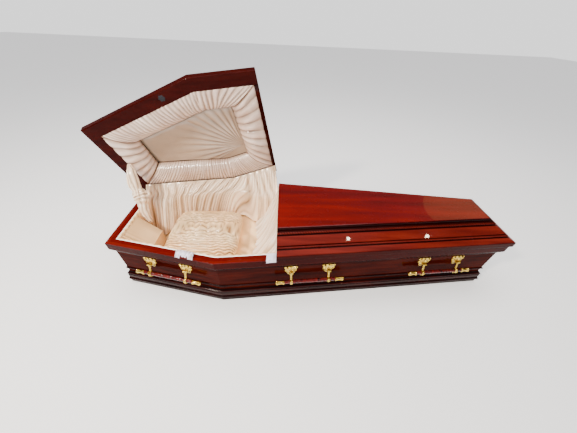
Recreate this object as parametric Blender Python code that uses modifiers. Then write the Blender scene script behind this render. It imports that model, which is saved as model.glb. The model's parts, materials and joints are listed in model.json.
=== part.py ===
"""Wooden coffin with a split lid: the hinged head lid stands open, the foot lid rests on the rim.

Units are metres. The origin is the middle of the underside. -X is the head end, +X the foot
end, -Y the side without the hinge, +Y the hinge side, +Z up.
"""

import math

import bmesh
import bpy
from mathutils import Matrix, Vector

# Outline of the lid seen from above
LENGTH = 2.050
HEAD_HALF = 0.221
SHOULDER_HALF = 0.336
FOOT_HALF = 0.187
SHOULDER_FROM_HEAD = 0.549
CUT_FROM_HEAD = 0.835

# Gap between touching pieces, and between the two lids
GAP = 0.0003
LID_SPLIT = 0.003

# Body of the coffin; an inset is measured inwards from the lid outline
RIM_TOP = 0.316
WALL_INSET = 0.024
WALL_THICK = 0.020
FLOOR_THICK = 0.018
RIM_INSET = 0.0075
RIM_FASCIA = 0.039
RIM_COVE = 0.034
BEAD_LEVEL = 0.1135
BEAD_RADIUS = 0.0065
PLINTH_INSET = 0.010
PLINTH_NOSE = 0.006
PLINTH_HEIGHT = 0.077
PLINTH_COVE = 0.007
PLINTH_BEAD_LEVEL = 0.030
PLINTH_BEAD_RADIUS = 0.0085
PLINTH_BEAD_PROUD = 0.006

# Lid mouldings, from the rim upwards
FRAME_WIDTH = 0.057
NOSE_HEIGHT = 0.033
NOSE_ROUND = 0.0045
FIRST_SLOPE_RUN = 0.027
FIRST_SLOPE_RISE = 0.011
STEP_WIDTH = 0.0125
STEP_RISE = 0.010
SECOND_SLOPE_RUN = 0.0425
SECOND_SLOPE_RISE = 0.027
RISER_THICK = 0.011
ROPE_WIDTH = 0.022
ROPE_HEIGHT = 0.013
TOP_SEAT = 0.013
TOP_THICK = 0.0115
TOP_ROUND = 0.009
RAIL_THICK = 0.0196

# Hinge of the head lid
OPEN_ANGLE = math.radians(73.4)
HINGE_OUT = 0.004
HINGE_BELOW_LID = 0.0038
BARREL_RADIUS = 0.003
LEAF_THICK = 0.0015
LEAF_HEIGHT = 0.025
LEAF_END_MARGIN = 0.070
KNUCKLES = 10
KNUCKLE_GAP = 0.0006

# Swing bar handles
HANDLE_HEAD_FROM_CORNER = 0.2765
HANDLE_MIDDLE_FROM_SHOULDER = 0.457
HANDLE_FOOT_FROM_SHOULDER = 1.172
LUG_BELOW_COVE = 0.002
PIVOT_OUT = 0.016
BAR_OUT = 0.032
BAR_DROP = 0.049
BAR_RADIUS = 0.0105
BAR_LENGTH = 0.355
TIP_LENGTH = 0.045
TIP_RADIUS = 0.013
TIP_FACE_RADIUS = 0.0091
TIP_WAIST_RADIUS = 0.012
TIP_COLLAR = 0.004
TIP_STEP = 0.002
ARM_SPACING = 0.194
ARM_WIDTH = 0.013
ARM_THICK = 0.006
ARM_EYE = 0.0068
ARM_RING = 0.0155
STRAP_CLEAR = 0.002
LUG_THICK = 0.004
LUG_TOP = 0.036
EAR_THICK = 0.0035
STEM_HEIGHT = 0.0109

# Half outline of the wall plate (across, up), as shares of its height over the pivot
LUG_HALF_LEAF = [(0.0, 0.92), (0.31, 1.0), (0.5, 0.86), (0.83, 1.0), (0.94, 0.72),
                 (0.75, 0.42), (0.86, 0.11), (0.58, -0.11), (0.5, -0.47), (0.25, -0.75)]

# Lining and bedding
LINING_CLEAR = 0.0007
LINING_THICK = 0.0055
LINING_BELOW_RIM = 0.003
MATTRESS_TOP = 0.120
MATTRESS_CLEAR = 0.006
MATTRESS_ROUND = 0.022
PILLOW_LENGTH = 0.398
PILLOW_WIDTH = 0.385
PILLOW_HEIGHT = 0.130
PILLOW_FROM_HEAD = 0.215
PILLOW_ROUND_SHARE = 0.44
WEDGE_TOP_BELOW_RIM = 0.010
WEDGE_RUN = 0.112
WEDGE_DROP = 0.104
WEDGE_FAR_Y = 0.0
BORDER_INNER_INSET = 0.172
BORDER_CUT_SHARE = 1.15
BORDER_RISE = 0.052
BORDER_DIP = 0.002
BORDER_EDGE_RISE = 0.004
BORDER_EDGE_RUN = 0.018
BORDER_CROWN_SHARE = 0.48
BORDER_SHOULDER = 0.021
BORDER_BACK_DROP = 0.012
PANEL_THICK = 0.008
DRAPE_THICK = 0.004
DRAPE_INSET = 0.057
DRAPE_CLEAR = 0.012
DRAPE_UNDER_LID = 0.006
SWEEP_FROM_HEAD = 0.145
SWEEP_AT_HEAD = 0.085
SWEEP_AT_PILLOW = 0.130
SWEEP_TOP_SHARE = 0.3
APRON_THICK = 0.0012
APRON_RUN = 0.120
APRON_SAG = 0.36
APRON_FOOT = 0.010
APRON_TOP_CLEAR = 0.004
CLOTH_CLEAR = 0.014
SLEEVE_RADIUS = 0.026
SLEEVE_INSET = 0.020
SLEEVE_UNDER_LID = 0.0216
SLEEVE_BOW = 0.012
SLEEVE_LID_Y = 0.010
SLEEVE_BODY_Y = 0.038
SLEEVE_BELOW_RIM = 0.056

# Levels and places worked out from the sizes above
HEAD_X = -LENGTH / 2
FOOT_X = LENGTH / 2
SHOULDER_X = HEAD_X + SHOULDER_FROM_HEAD
CUT_X = HEAD_X + CUT_FROM_HEAD
LID_UNDER = RIM_TOP + GAP
NOSE_TOP = RIM_TOP + NOSE_HEIGHT
STEP_INSET = NOSE_ROUND + FIRST_SLOPE_RUN
STEP_LEVEL = NOSE_TOP + FIRST_SLOPE_RISE
SLOPE_INSET = STEP_INSET + STEP_WIDTH
SLOPE_LEVEL = STEP_LEVEL + STEP_RISE
ROPE_INSET = SLOPE_INSET + SECOND_SLOPE_RUN
ROPE_LEVEL = SLOPE_LEVEL + SECOND_SLOPE_RISE
TOP_INSET = ROPE_INSET + ROPE_WIDTH
TOP_LEVEL = ROPE_LEVEL + ROPE_HEIGHT
WALL_INNER = WALL_INSET + WALL_THICK
HINGE_LEVEL = LID_UNDER - HINGE_BELOW_LID
FLOOR_TOP = FLOOR_THICK
PIVOT_LEVEL = RIM_TOP - RIM_FASCIA - RIM_COVE - LUG_BELOW_COVE - LUG_TOP

# Sides of the outline, counted from the head corner without the hinge, all the way round
NEAR_HEAD_SIDE, NEAR_FOOT_SIDE, FOOT_END, FAR_FOOT_SIDE, FAR_HEAD_SIDE, HEAD_END = range(6)

COLLECTION = "Wooden coffin"
CUTTERS = "Cutters"

MATERIALS = {
    "mahogany": ((0.090, 0.012, 0.010), 0.22, 0.0),
    "mahogany_top": ((0.190, 0.010, 0.006), 0.16, 0.0),
    "brass": ((0.760, 0.560, 0.190), 0.28, 1.0),
    "satin": ((0.780, 0.660, 0.500), 0.45, 0.0),
}


def clear_scene():
    """Remove every object and collection that is already in the file."""
    for obj in list(bpy.data.objects):
        bpy.data.objects.remove(obj, do_unlink=True)
    for collection in list(bpy.data.collections):
        bpy.data.collections.remove(collection)


def make_collection(name):
    collection = bpy.data.collections.new(name)
    bpy.context.scene.collection.children.link(collection)
    return collection


def material(node_name, kind):
    """Principled material of one sub-part, in one of the coffin's finishes."""
    color, roughness, metallic = MATERIALS[kind]
    made = bpy.data.materials.new(f"{node_name}_{kind}")
    made.use_nodes = True
    shader = made.node_tree.nodes["Principled BSDF"]
    shader.inputs["Base Color"].default_value = (*color, 1.0)
    shader.inputs["Roughness"].default_value = roughness
    shader.inputs["Metallic"].default_value = metallic
    return made


def add_object(name, data, kind, parent=None, matrix=None):
    """Link a new object for a sub-part, with its own material."""
    obj = bpy.data.objects.new(name, data)
    bpy.data.collections[COLLECTION].objects.link(obj)
    obj.data.materials.clear()
    obj.data.materials.append(material(name, kind))
    if matrix is not None:
        obj.matrix_world = matrix
    if parent is not None:
        obj.parent = parent
    return obj


def add_empty(name, matrix):
    empty = bpy.data.objects.new(name, None)
    bpy.data.collections[COLLECTION].objects.link(empty)
    empty.empty_display_size = 0.05
    empty.matrix_world = matrix
    return empty


def outline(inset=0.0):
    """Six corners of the outline, mitred inwards by an inset, seen from above."""
    corners = [
        Vector((HEAD_X, -HEAD_HALF)),
        Vector((SHOULDER_X, -SHOULDER_HALF)),
        Vector((FOOT_X, -FOOT_HALF)),
        Vector((FOOT_X, FOOT_HALF)),
        Vector((SHOULDER_X, SHOULDER_HALF)),
        Vector((HEAD_X, HEAD_HALF)),
    ]
    count = len(corners)
    moved = []
    for i, corner in enumerate(corners):
        before = (corner - corners[i - 1]).normalized()
        after = (corners[(i + 1) % count] - corner).normalized()
        inward = Vector((-before.y, before.x)) + Vector((-after.y, after.x))
        moved.append(corner + inward * inset / (1 + before.dot(after)))
    return moved


def along_side(side, x, inset):
    """Point of an inset long side at a given x."""
    corners = outline(inset)
    start = corners[side]
    end = corners[(side + 1) % 6]
    share = (x - start.x) / (end.x - start.x)
    return start.lerp(end, share)


def corner_station(index):
    return lambda inset: outline(inset)[index]


def cut_station(side, x):
    return lambda inset: along_side(side, x, inset)


def body_ring():
    return [corner_station(i) for i in range(6)]


def foot_lid_path():
    x = CUT_X + LID_SPLIT / 2
    ends = [cut_station(NEAR_FOOT_SIDE, x), cut_station(FAR_FOOT_SIDE, x)]
    return [ends[0], corner_station(2), corner_station(3), ends[1]]


def head_lid_path():
    x = CUT_X - LID_SPLIT / 2
    ends = [cut_station(FAR_FOOT_SIDE, x), cut_station(NEAR_FOOT_SIDE, x)]
    corners = [corner_station(i) for i in (4, 5, 0, 1)]
    return [ends[0], *corners, ends[1]]


def border_ring():
    """Stations of the padding round the head lid's underside, its cut side included."""
    first_x = CUT_X - LID_SPLIT / 2 - RAIL_THICK - GAP

    def cut_x(inset):
        return first_x - (inset - FRAME_WIDTH - GAP) * BORDER_CUT_SHARE

    def near_cut(inset):
        return along_side(NEAR_FOOT_SIDE, cut_x(inset), inset)

    def far_cut(inset):
        return along_side(FAR_FOOT_SIDE, cut_x(inset), inset)

    corners = [corner_station(i) for i in (4, 5, 0, 1)]
    return [*corners, near_cut, far_cut]


def arc(centre, radius, start, end, steps):
    """Points (inset, level) on an arc; angles in degrees, 0 inwards and 90 up."""
    points = []
    for i in range(steps + 1):
        angle = math.radians(start + (end - start) * i / steps)
        points.append((centre[0] + radius * math.cos(angle), centre[1] + radius * math.sin(angle)))
    return points


def ogee(start, end, steps):
    """Points of an S curve from one (inset, level) to another, both ends upright."""
    points = []
    for i in range(steps + 1):
        share = i / steps
        across = (1 - math.cos(math.pi * share)) / 2
        inset = start[0] + (end[0] - start[0]) * across
        points.append((inset, start[1] + (end[1] - start[1]) * share))
    return points


def finish_mesh(mesh, shape):
    bmesh.ops.recalc_face_normals(shape, faces=shape.faces)
    shape.to_mesh(mesh)
    shape.free()
    return mesh


def swept_mesh(name, stations, section, closed):
    """Mitred moulding: a closed (inset, level) section run past every station."""
    shape = bmesh.new()
    rows = []
    for station in stations:
        places = [station(inset) for inset, level in section]
        rows.append([shape.verts.new((p.x, p.y, s[1])) for p, s in zip(places, section)])
    count = len(section)
    spans = len(rows) if closed else len(rows) - 1
    for i in range(spans):
        here = rows[i]
        there = rows[(i + 1) % len(rows)]
        for j in range(count):
            k = (j + 1) % count
            shape.faces.new((here[j], here[k], there[k], there[j]))
    if not closed:
        shape.faces.new(rows[0])
        shape.faces.new(rows[-1])
    return finish_mesh(bpy.data.meshes.new(name), shape)


def stacked_mesh(name, stations, layers):
    """Solid whose plan is the stations' outline, one ring of corners for each (inset, level)."""
    shape = bmesh.new()
    rings = []
    for inset, level in layers:
        places = [station(inset) for station in stations]
        rings.append([shape.verts.new((p.x, p.y, level)) for p in places])
    for lower, upper in zip(rings, rings[1:]):
        for i in range(len(lower)):
            k = (i + 1) % len(lower)
            shape.faces.new((lower[i], lower[k], upper[k], upper[i]))
    shape.faces.new(rings[0])
    shape.faces.new(rings[-1])
    return finish_mesh(bpy.data.meshes.new(name), shape)


def prism_mesh(name, points, direction):
    """Solid between a flat loop of points and the same loop moved by a vector."""
    shape = bmesh.new()
    base = [shape.verts.new(p) for p in points]
    top = [shape.verts.new(Vector(p) + direction) for p in points]
    for i in range(len(base)):
        k = (i + 1) % len(base)
        shape.faces.new((base[i], base[k], top[k], top[i]))
    shape.faces.new(base)
    shape.faces.new(top)
    return finish_mesh(bpy.data.meshes.new(name), shape)


def flat_board(name, points, level, thickness, kind):
    """Board cut from a flat outline, lying level."""
    curve = bpy.data.curves.new(name, "CURVE")
    curve.dimensions = "2D"
    curve.fill_mode = "BOTH"
    curve.extrude = thickness / 2
    spline = curve.splines.new("POLY")
    spline.points.add(len(points) - 1)
    for target, point in zip(spline.points, points):
        target.co = (point[0], point[1], 0.0, 1.0)
    spline.use_cyclic_u = True
    return add_object(name, curve, kind, matrix=Matrix.Translation((0, 0, level + thickness / 2)))


def box_mesh(name, size, centre):
    shape = bmesh.new()
    bmesh.ops.create_cube(shape, size=1.0)
    bmesh.ops.scale(shape, vec=size, verts=shape.verts)
    bmesh.ops.translate(shape, vec=centre, verts=shape.verts)
    return finish_mesh(bpy.data.meshes.new(name), shape)


def rod_mesh(name, radius, length, centre, sides=12):
    """Cylinder whose length runs along X."""
    shape = bmesh.new()
    bmesh.ops.create_cone(
        shape, cap_ends=True, segments=sides, radius1=radius, radius2=radius, depth=length)
    bmesh.ops.rotate(shape, matrix=Matrix.Rotation(math.pi / 2, 3, "Y"), verts=shape.verts)
    bmesh.ops.translate(shape, vec=centre, verts=shape.verts)
    return finish_mesh(bpy.data.meshes.new(name), shape)


def joined_mesh(name, meshes):
    """One closed mesh from overlapping closed ones, by Boolean union."""
    base = bpy.data.objects.new(name, meshes[0])
    bpy.data.collections[COLLECTION].objects.link(base)
    tools = []
    for i, mesh in enumerate(meshes[1:]):
        tool = bpy.data.objects.new(f"{name}_cutter_{i}", mesh)
        tool.hide_render = True
        tool.display_type = "WIRE"
        bpy.data.collections[CUTTERS].objects.link(tool)
        union = base.modifiers.new(f"union_{i}", "BOOLEAN")
        union.operation = "UNION"
        union.object = tool
        tools.append(tool)
    graph = bpy.context.evaluated_depsgraph_get()
    made = bpy.data.meshes.new_from_object(base.evaluated_get(graph))
    made.name = name
    for obj in [base, *tools]:
        bpy.data.objects.remove(obj, do_unlink=True)
    return made


def smooth(obj, angle=40.0):
    obj.data.shade_smooth()
    obj.data.set_sharp_from_angle(angle=math.radians(angle))


def make_moulding(name, stations, section, closed, kind, parent=None):
    obj = add_object(name, swept_mesh(name, stations, section, closed), kind, parent)
    smooth(obj)
    return obj


def make_side_board(name, sides):
    """One long side with its bend at the shoulder, cut square at both ends."""
    head_side, foot_side = sides
    head_cut = cut_station(head_side, HEAD_X + WALL_INSET)
    foot_cut = cut_station(foot_side, FOOT_X - WALL_INSET)
    shoulder = corner_station(1 if head_side == NEAR_HEAD_SIDE else 4)
    inner = WALL_INNER
    section = [(WALL_INSET, 0.0), (WALL_INSET, RIM_TOP), (inner, RIM_TOP), (inner, 0.0)]
    mesh = swept_mesh(name, [head_cut, shoulder, foot_cut], section, closed=False)
    add_object(name, mesh, "mahogany")


def make_end_board(name, near_side, far_side, outer_x, inward):
    """End board held between the two side boards."""
    inner_x = outer_x + inward * WALL_THICK
    inset = WALL_INNER + GAP
    points = [
        along_side(near_side, outer_x, inset),
        along_side(near_side, inner_x, inset),
        along_side(far_side, inner_x, inset),
        along_side(far_side, outer_x, inset),
    ]
    flat_board(name, points, 0.0, RIM_TOP, "mahogany")


def make_body():
    """Floor, walls and the mouldings that run round them."""
    ring = body_ring()
    flat_board("floor_board", outline(WALL_INNER + GAP), 0.0, FLOOR_THICK, "mahogany")
    make_side_board("side_board_near", (NEAR_HEAD_SIDE, NEAR_FOOT_SIDE))
    make_side_board("side_board_far", (FAR_HEAD_SIDE, FAR_FOOT_SIDE))
    make_end_board("end_board_head", NEAR_HEAD_SIDE, FAR_HEAD_SIDE, HEAD_X + WALL_INSET, 1)
    make_end_board("end_board_foot", NEAR_FOOT_SIDE, FAR_FOOT_SIDE, FOOT_X - WALL_INSET, -1)

    back = WALL_INSET - GAP
    fascia_foot = RIM_TOP - RIM_FASCIA
    rim = [(back, RIM_TOP), (RIM_INSET, RIM_TOP)]
    rim += ogee((RIM_INSET, fascia_foot), (back, fascia_foot - RIM_COVE), 6)
    make_moulding("rim_moulding", ring, rim, True, "mahogany")

    nose_centre = (PLINTH_INSET, PLINTH_HEIGHT - PLINTH_NOSE)
    plinth = [(back, 0.0), (PLINTH_INSET, 0.0)]
    plinth += arc(nose_centre, PLINTH_NOSE, 270, 90, 5)
    plinth += ogee((back - PLINTH_COVE / 2, PLINTH_HEIGHT), (back, PLINTH_HEIGHT + PLINTH_COVE), 3)
    make_moulding("plinth_moulding", ring, plinth, True, "mahogany")

    wall_bead = arc((back, BEAD_LEVEL), BEAD_RADIUS, 270, 90, 6)
    make_moulding("wall_bead", ring, wall_bead, True, "mahogany")
    bead_back = PLINTH_INSET - GAP
    share = PLINTH_BEAD_PROUD / PLINTH_BEAD_RADIUS
    plinth_bead = arc((0.0, PLINTH_BEAD_LEVEL), PLINTH_BEAD_RADIUS, 270, 90, 6)
    plinth_bead = [(bead_back + inset * share, level) for inset, level in plinth_bead]
    make_moulding("plinth_bead", ring, plinth_bead, True, "mahogany")


def frame_section():
    nose = (NOSE_ROUND, LID_UNDER + NOSE_ROUND)
    shoulder = (NOSE_ROUND, NOSE_TOP - NOSE_ROUND)
    slope = math.degrees(math.atan2(FIRST_SLOPE_RISE, FIRST_SLOPE_RUN))
    lower = arc(nose, NOSE_ROUND, 270, 180, 3)
    upper = arc(shoulder, NOSE_ROUND, 180, 90 + slope, 3)
    top = [(STEP_INSET, STEP_LEVEL), (FRAME_WIDTH, STEP_LEVEL)]
    return [(FRAME_WIDTH, LID_UNDER), *lower, *upper, *top]


def riser_section():
    """Step bead and second slope, a board standing on the frame's inner shelf."""
    base = STEP_LEVEL + GAP
    bead = arc((STEP_INSET + STEP_WIDTH / 2, base + STEP_RISE / 2), STEP_RISE / 2, 250, 90, 5)
    bead = [(max(inset, STEP_INSET), max(level, base)) for inset, level in bead]
    lean = math.atan2(SECOND_SLOPE_RISE, SECOND_SLOPE_RUN)
    under = RISER_THICK / math.cos(lean)
    shelf = ROPE_INSET + ROPE_WIDTH + TOP_SEAT
    foot = SLOPE_INSET + RISER_THICK / math.sin(lean)
    return [
        (foot, base), (STEP_INSET + STEP_WIDTH / 2, base), *bead[1:],
        (SLOPE_INSET, SLOPE_LEVEL), (ROPE_INSET, ROPE_LEVEL), (shelf, ROPE_LEVEL),
        (shelf, ROPE_LEVEL - under), (ROPE_INSET + GAP, ROPE_LEVEL - under),
    ]


def rope_section():
    base = ROPE_LEVEL + GAP
    crown = TOP_LEVEL
    half = (crown - base) / 2
    bead = arc((ROPE_INSET + half, base + half), half, 270, 90, 6)
    shelf = ROPE_INSET + ROPE_WIDTH + TOP_SEAT
    return [(shelf, base), *bead, (shelf, crown)]


def top_layers():
    base = TOP_LEVEL + GAP
    crown = TOP_LEVEL + TOP_THICK
    square = crown - TOP_ROUND
    layers = [(TOP_INSET, base), (TOP_INSET, square)]
    for inset, level in arc((TOP_INSET + TOP_ROUND, square), TOP_ROUND, 180, 90, 4)[1:]:
        layers.append((inset, level))
    return layers


def make_cut_rail(name, side_x, inward, parent=None):
    """Board that closes a lid's end at the cut, under the risers and the top."""
    lean = math.atan2(SECOND_SLOPE_RISE, SECOND_SLOPE_RUN)
    under = RISER_THICK / math.cos(lean)
    shelf = ROPE_INSET + ROPE_WIDTH + TOP_SEAT + GAP
    profile = [
        (FRAME_WIDTH + GAP, LID_UNDER),
        (FRAME_WIDTH + GAP, STEP_LEVEL),
        (SLOPE_INSET + RISER_THICK / math.sin(lean) + GAP, STEP_LEVEL),
        (ROPE_INSET + 2 * GAP, ROPE_LEVEL - under - GAP),
        (shelf, ROPE_LEVEL - under - GAP),
        (shelf, TOP_LEVEL),
    ]
    near = [along_side(NEAR_FOOT_SIDE, side_x, inset) for inset, level in profile]
    far = [along_side(FAR_FOOT_SIDE, side_x, inset) for inset, level in profile]
    back = along_side(NEAR_FOOT_SIDE, side_x + RAIL_THICK, 0)
    slack = abs(back.y - along_side(NEAR_FOOT_SIDE, side_x, 0).y)
    points = [(side_x, p.y + slack, s[1]) for p, s in zip(near, profile)]
    points += [(side_x, p.y - slack, s[1]) for p, s in reversed(list(zip(far, profile)))]
    mesh = prism_mesh(name, points, Vector((inward * RAIL_THICK, 0, 0)))
    add_object(name, mesh, "mahogany", parent)


def make_lid(prefix, path, rail_x, inward, parent=None):
    """Frame, riser, rope moulding, top board and cut rail of one lid, shut."""
    make_moulding(f"{prefix}_frame", path, frame_section(), False, "mahogany", parent)
    make_moulding(f"{prefix}_riser", path, riser_section(), False, "mahogany", parent)
    make_moulding(f"{prefix}_rope_moulding", path, rope_section(), False, "mahogany", parent)
    name = f"{prefix}_top_board"
    top = add_object(name, stacked_mesh(name, path, top_layers()), "mahogany_top", parent)
    smooth(top)
    make_cut_rail(f"{prefix}_cut_rail", rail_x, inward, parent)


def hinge_ends():
    """Head end and shoulder end of the hinge axis, seen from above."""
    corners = outline(-HINGE_OUT)
    return corners[5], corners[4]


def hinge_frame():
    """Hinge axis frame of the shut lid: X along the far head side, towards its foot end."""
    head, shoulder = hinge_ends()
    along = (shoulder - head).normalized()
    axes = Matrix(((along.x, -along.y, 0), (along.y, along.x, 0), (0, 0, 1))).to_4x4()
    return Matrix.Translation((head.x, head.y, HINGE_LEVEL)) @ axes


def opened():
    """World matrix that carries the shut head lid to where it stands open."""
    frame = hinge_frame()
    return frame @ Matrix.Rotation(-OPEN_ANGLE, 4, "X") @ frame.inverted()


def make_hinge(lid_parent):
    """Long hinge in two leaves, with knuckles that take turns along one barrel."""
    frame = hinge_frame()
    head, shoulder = hinge_ends()
    length = (shoulder - head).length - 2 * LEAF_END_MARGIN
    pitch = length / KNUCKLES
    plate_out = HINGE_OUT + RIM_INSET - GAP
    web_top = -BARREL_RADIUS / 2
    lid_foot = BARREL_RADIUS + GAP
    mid = LEAF_END_MARGIN + length / 2
    body = [box_mesh("body_plate", (length, LEAF_THICK, LEAF_HEIGHT),
                     (mid, -plate_out + LEAF_THICK / 2, web_top - LEAF_HEIGHT / 2))]
    web = plate_out - BARREL_RADIUS - GAP
    body.append(box_mesh("body_web", (length, web, LEAF_THICK),
                         (mid, -plate_out + web / 2, web_top - LEAF_THICK / 2)))
    lid_plate_y = -HINGE_OUT + GAP + LEAF_THICK / 2
    lid = [box_mesh("lid_plate", (length, LEAF_THICK, LEAF_HEIGHT),
                    (mid, lid_plate_y, lid_foot + LEAF_HEIGHT / 2))]
    for i in range(KNUCKLES):
        x = LEAF_END_MARGIN + pitch * (i + 0.5)
        width = pitch - KNUCKLE_GAP
        knuckle = rod_mesh("knuckle", BARREL_RADIUS, width, (x, 0, 0))
        if i % 2:
            tab_height = lid_foot + LEAF_THICK
            tab = box_mesh("tab", (width, LEAF_THICK, tab_height), (x, lid_plate_y, tab_height / 2))
            lid += [knuckle, tab]
        else:
            tab = box_mesh("tab", (width, plate_out, LEAF_THICK),
                           (x, -plate_out / 2, web_top - LEAF_THICK / 2))
            body += [knuckle, tab]
    body_mesh = joined_mesh("hinge_leaf_body", body)
    lid_mesh = joined_mesh("hinge_leaf_lid", lid)
    smooth(add_object("hinge_leaf_body", body_mesh, "brass", matrix=frame))
    smooth(add_object("hinge_leaf_lid", lid_mesh, "brass", lid_parent))


def lug_mesh():
    """Leaf shaped wall plate with two ears that hold the arm's eye; X along the wall, Y out."""
    leaf = LUG_HALF_LEAF + [(-x, z) for x, z in reversed(LUG_HALF_LEAF[1:])]
    points = [(x * LUG_TOP, -PIVOT_OUT + GAP, z * LUG_TOP) for x, z in leaf]
    pieces = [prism_mesh("leaf", points, Vector((0, LUG_THICK, 0)))]
    inner = ARM_WIDTH / 2 + GAP
    stem = PIVOT_OUT - LUG_THICK / 2
    for side in (-1, 1):
        x = side * (inner + EAR_THICK / 2)
        pieces.append(rod_mesh("ear", ARM_EYE, EAR_THICK, (x, 0, 0)))
        pieces.append(box_mesh("stem", (EAR_THICK, stem, STEM_HEIGHT), (x, -stem / 2, 0)))
    return joined_mesh("lug", pieces)


def arm_mesh():
    """Arm from the eye at the pivot down to the ring that the bar runs through."""
    bar = Vector((0, BAR_OUT - PIVOT_OUT, -BAR_DROP))
    pieces = [rod_mesh("eye", ARM_EYE - GAP, ARM_WIDTH, (0, 0, 0))]
    length = bar.length - BAR_RADIUS - STRAP_CLEAR
    strap = box_mesh("strap", (ARM_WIDTH, ARM_THICK, length), (0, 0, 0))
    centre = bar.normalized() * length / 2
    turn = Matrix.Rotation(math.atan2(bar.y, -bar.z), 4, "X")
    strap.transform(Matrix.Translation(centre) @ turn)
    pieces.append(strap)
    ring = rod_mesh("ring", ARM_RING, ARM_WIDTH, bar, sides=16)
    bore = rod_mesh("bore", BAR_RADIUS + GAP, ARM_WIDTH * 2, bar, sides=16)
    return pierced_mesh("arm", joined_mesh("arm_solid", [*pieces, ring]), bore)


def pierced_mesh(name, mesh, tool_mesh):
    """Closed mesh with a tool's shape cut out of it."""
    base = bpy.data.objects.new(name, mesh)
    tool = bpy.data.objects.new(f"{name}_cutter", tool_mesh)
    tool.hide_render = True
    tool.display_type = "WIRE"
    bpy.data.collections[COLLECTION].objects.link(base)
    bpy.data.collections[CUTTERS].objects.link(tool)
    cut = base.modifiers.new("bore", "BOOLEAN")
    cut.operation = "DIFFERENCE"
    cut.object = tool
    graph = bpy.context.evaluated_depsgraph_get()
    made = bpy.data.meshes.new_from_object(base.evaluated_get(graph))
    for obj in (base, tool):
        bpy.data.objects.remove(obj, do_unlink=True)
    return made


def bar_mesh():
    """Bar turned round X, with a collared tip at each end."""
    half = BAR_LENGTH / 2
    tip = half - TIP_LENGTH
    profile = [(half, 0.0), (half, TIP_FACE_RADIUS), (half - TIP_COLLAR, TIP_RADIUS),
               (half - 2 * TIP_COLLAR, TIP_WAIST_RADIUS), (tip + 2 * TIP_COLLAR, TIP_WAIST_RADIUS),
               (tip + TIP_COLLAR, TIP_RADIUS), (tip, TIP_RADIUS), (tip - TIP_STEP, BAR_RADIUS)]
    rows = profile + [(-x, r) for x, r in reversed(profile)]
    edges = [(i, i + 1) for i in range(len(rows) - 1)]
    curve_mesh = bpy.data.meshes.new("bar_profile")
    curve_mesh.from_pydata([(r, 0, x) for x, r in rows], edges, [])
    base = bpy.data.objects.new("bar_profile", curve_mesh)
    bpy.data.collections[COLLECTION].objects.link(base)
    screw = base.modifiers.new("turn", "SCREW")
    screw.steps = 12
    screw.render_steps = 12
    screw.use_merge_vertices = True
    screw.merge_threshold = 0.00001
    graph = bpy.context.evaluated_depsgraph_get()
    made = bpy.data.meshes.new_from_object(base.evaluated_get(graph))
    bpy.data.objects.remove(base, do_unlink=True)
    place = Matrix.Translation((0, BAR_OUT - PIVOT_OUT, -BAR_DROP))
    made.transform(place @ Matrix.Rotation(math.pi / 2, 4, "Y"))
    shape = bmesh.new()
    shape.from_mesh(made)
    return finish_mesh(made, shape)


def handle_places():
    """Name, side and distance along the side of every handle."""
    places = []
    for label, head_side, foot_side in (("near", NEAR_HEAD_SIDE, NEAR_FOOT_SIDE),
                                        ("far", FAR_HEAD_SIDE, FAR_FOOT_SIDE)):
        places.append((f"{label}_head", head_side, HANDLE_HEAD_FROM_CORNER))
        places.append((f"{label}_middle", foot_side, HANDLE_MIDDLE_FROM_SHOULDER))
        places.append((f"{label}_foot", foot_side, HANDLE_FOOT_FROM_SHOULDER))
    return places


def handle_matrix(side, distance):
    """Pivot frame of a handle: X along the wall, Y outwards, Z up."""
    corners = outline(WALL_INSET)
    start, end = corners[side], corners[(side + 1) % 6]
    if side in (FAR_HEAD_SIDE, FAR_FOOT_SIDE):
        start, end = end, start
    along = (end - start).normalized()
    out = Vector((along.y, -along.x))
    if side in (FAR_HEAD_SIDE, FAR_FOOT_SIDE):
        out = -out
    place = start + along * distance + out * PIVOT_OUT
    across = Vector((out.y, -out.x))
    axes = Matrix(((across.x, out.x, 0), (across.y, out.y, 0), (0, 0, 1))).to_4x4()
    return Matrix.Translation((place.x, place.y, PIVOT_LEVEL)) @ axes


def make_handles():
    """Six swing bar handles, three on each long side."""
    lug, arm, bar = lug_mesh(), arm_mesh(), bar_mesh()
    for label, side, distance in handle_places():
        matrix = handle_matrix(side, distance)
        pivot = add_empty(f"handle_{label}_pivot", matrix)
        for mark, direction in (("a", -1), ("b", 1)):
            shift = Matrix.Translation((direction * ARM_SPACING / 2, 0, 0))
            add_object(f"handle_{label}_lug_{mark}", lug.copy(), "brass", matrix=matrix @ shift)
            add_object(f"handle_{label}_arm_{mark}", arm.copy(), "brass", pivot, shift)
        made = add_object(f"handle_{label}_bar", bar.copy(), "mahogany", pivot)
        smooth(made)


def make_bedding():
    """Side lining, mattress, pillow and the wedge behind the pillow."""
    outer = WALL_INNER + LINING_CLEAR
    inner = outer + LINING_THICK
    top = RIM_TOP - LINING_BELOW_RIM
    floor = FLOOR_TOP + GAP
    lining = [(outer, floor), (outer, top), (inner, top), (inner, floor)]
    make_moulding("body_lining", body_ring(), lining, True, "satin")

    edge = inner + MATTRESS_CLEAR
    layers = [(edge, floor), (edge, MATTRESS_TOP - MATTRESS_ROUND)]
    centre = (edge + MATTRESS_ROUND, MATTRESS_TOP - MATTRESS_ROUND)
    layers += arc(centre, MATTRESS_ROUND, 180, 90, 3)[1:]
    smooth(add_object("mattress", stacked_mesh("mattress", body_ring(), layers), "satin"))

    make_wedge(inner + LINING_CLEAR)
    make_pillow()


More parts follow.
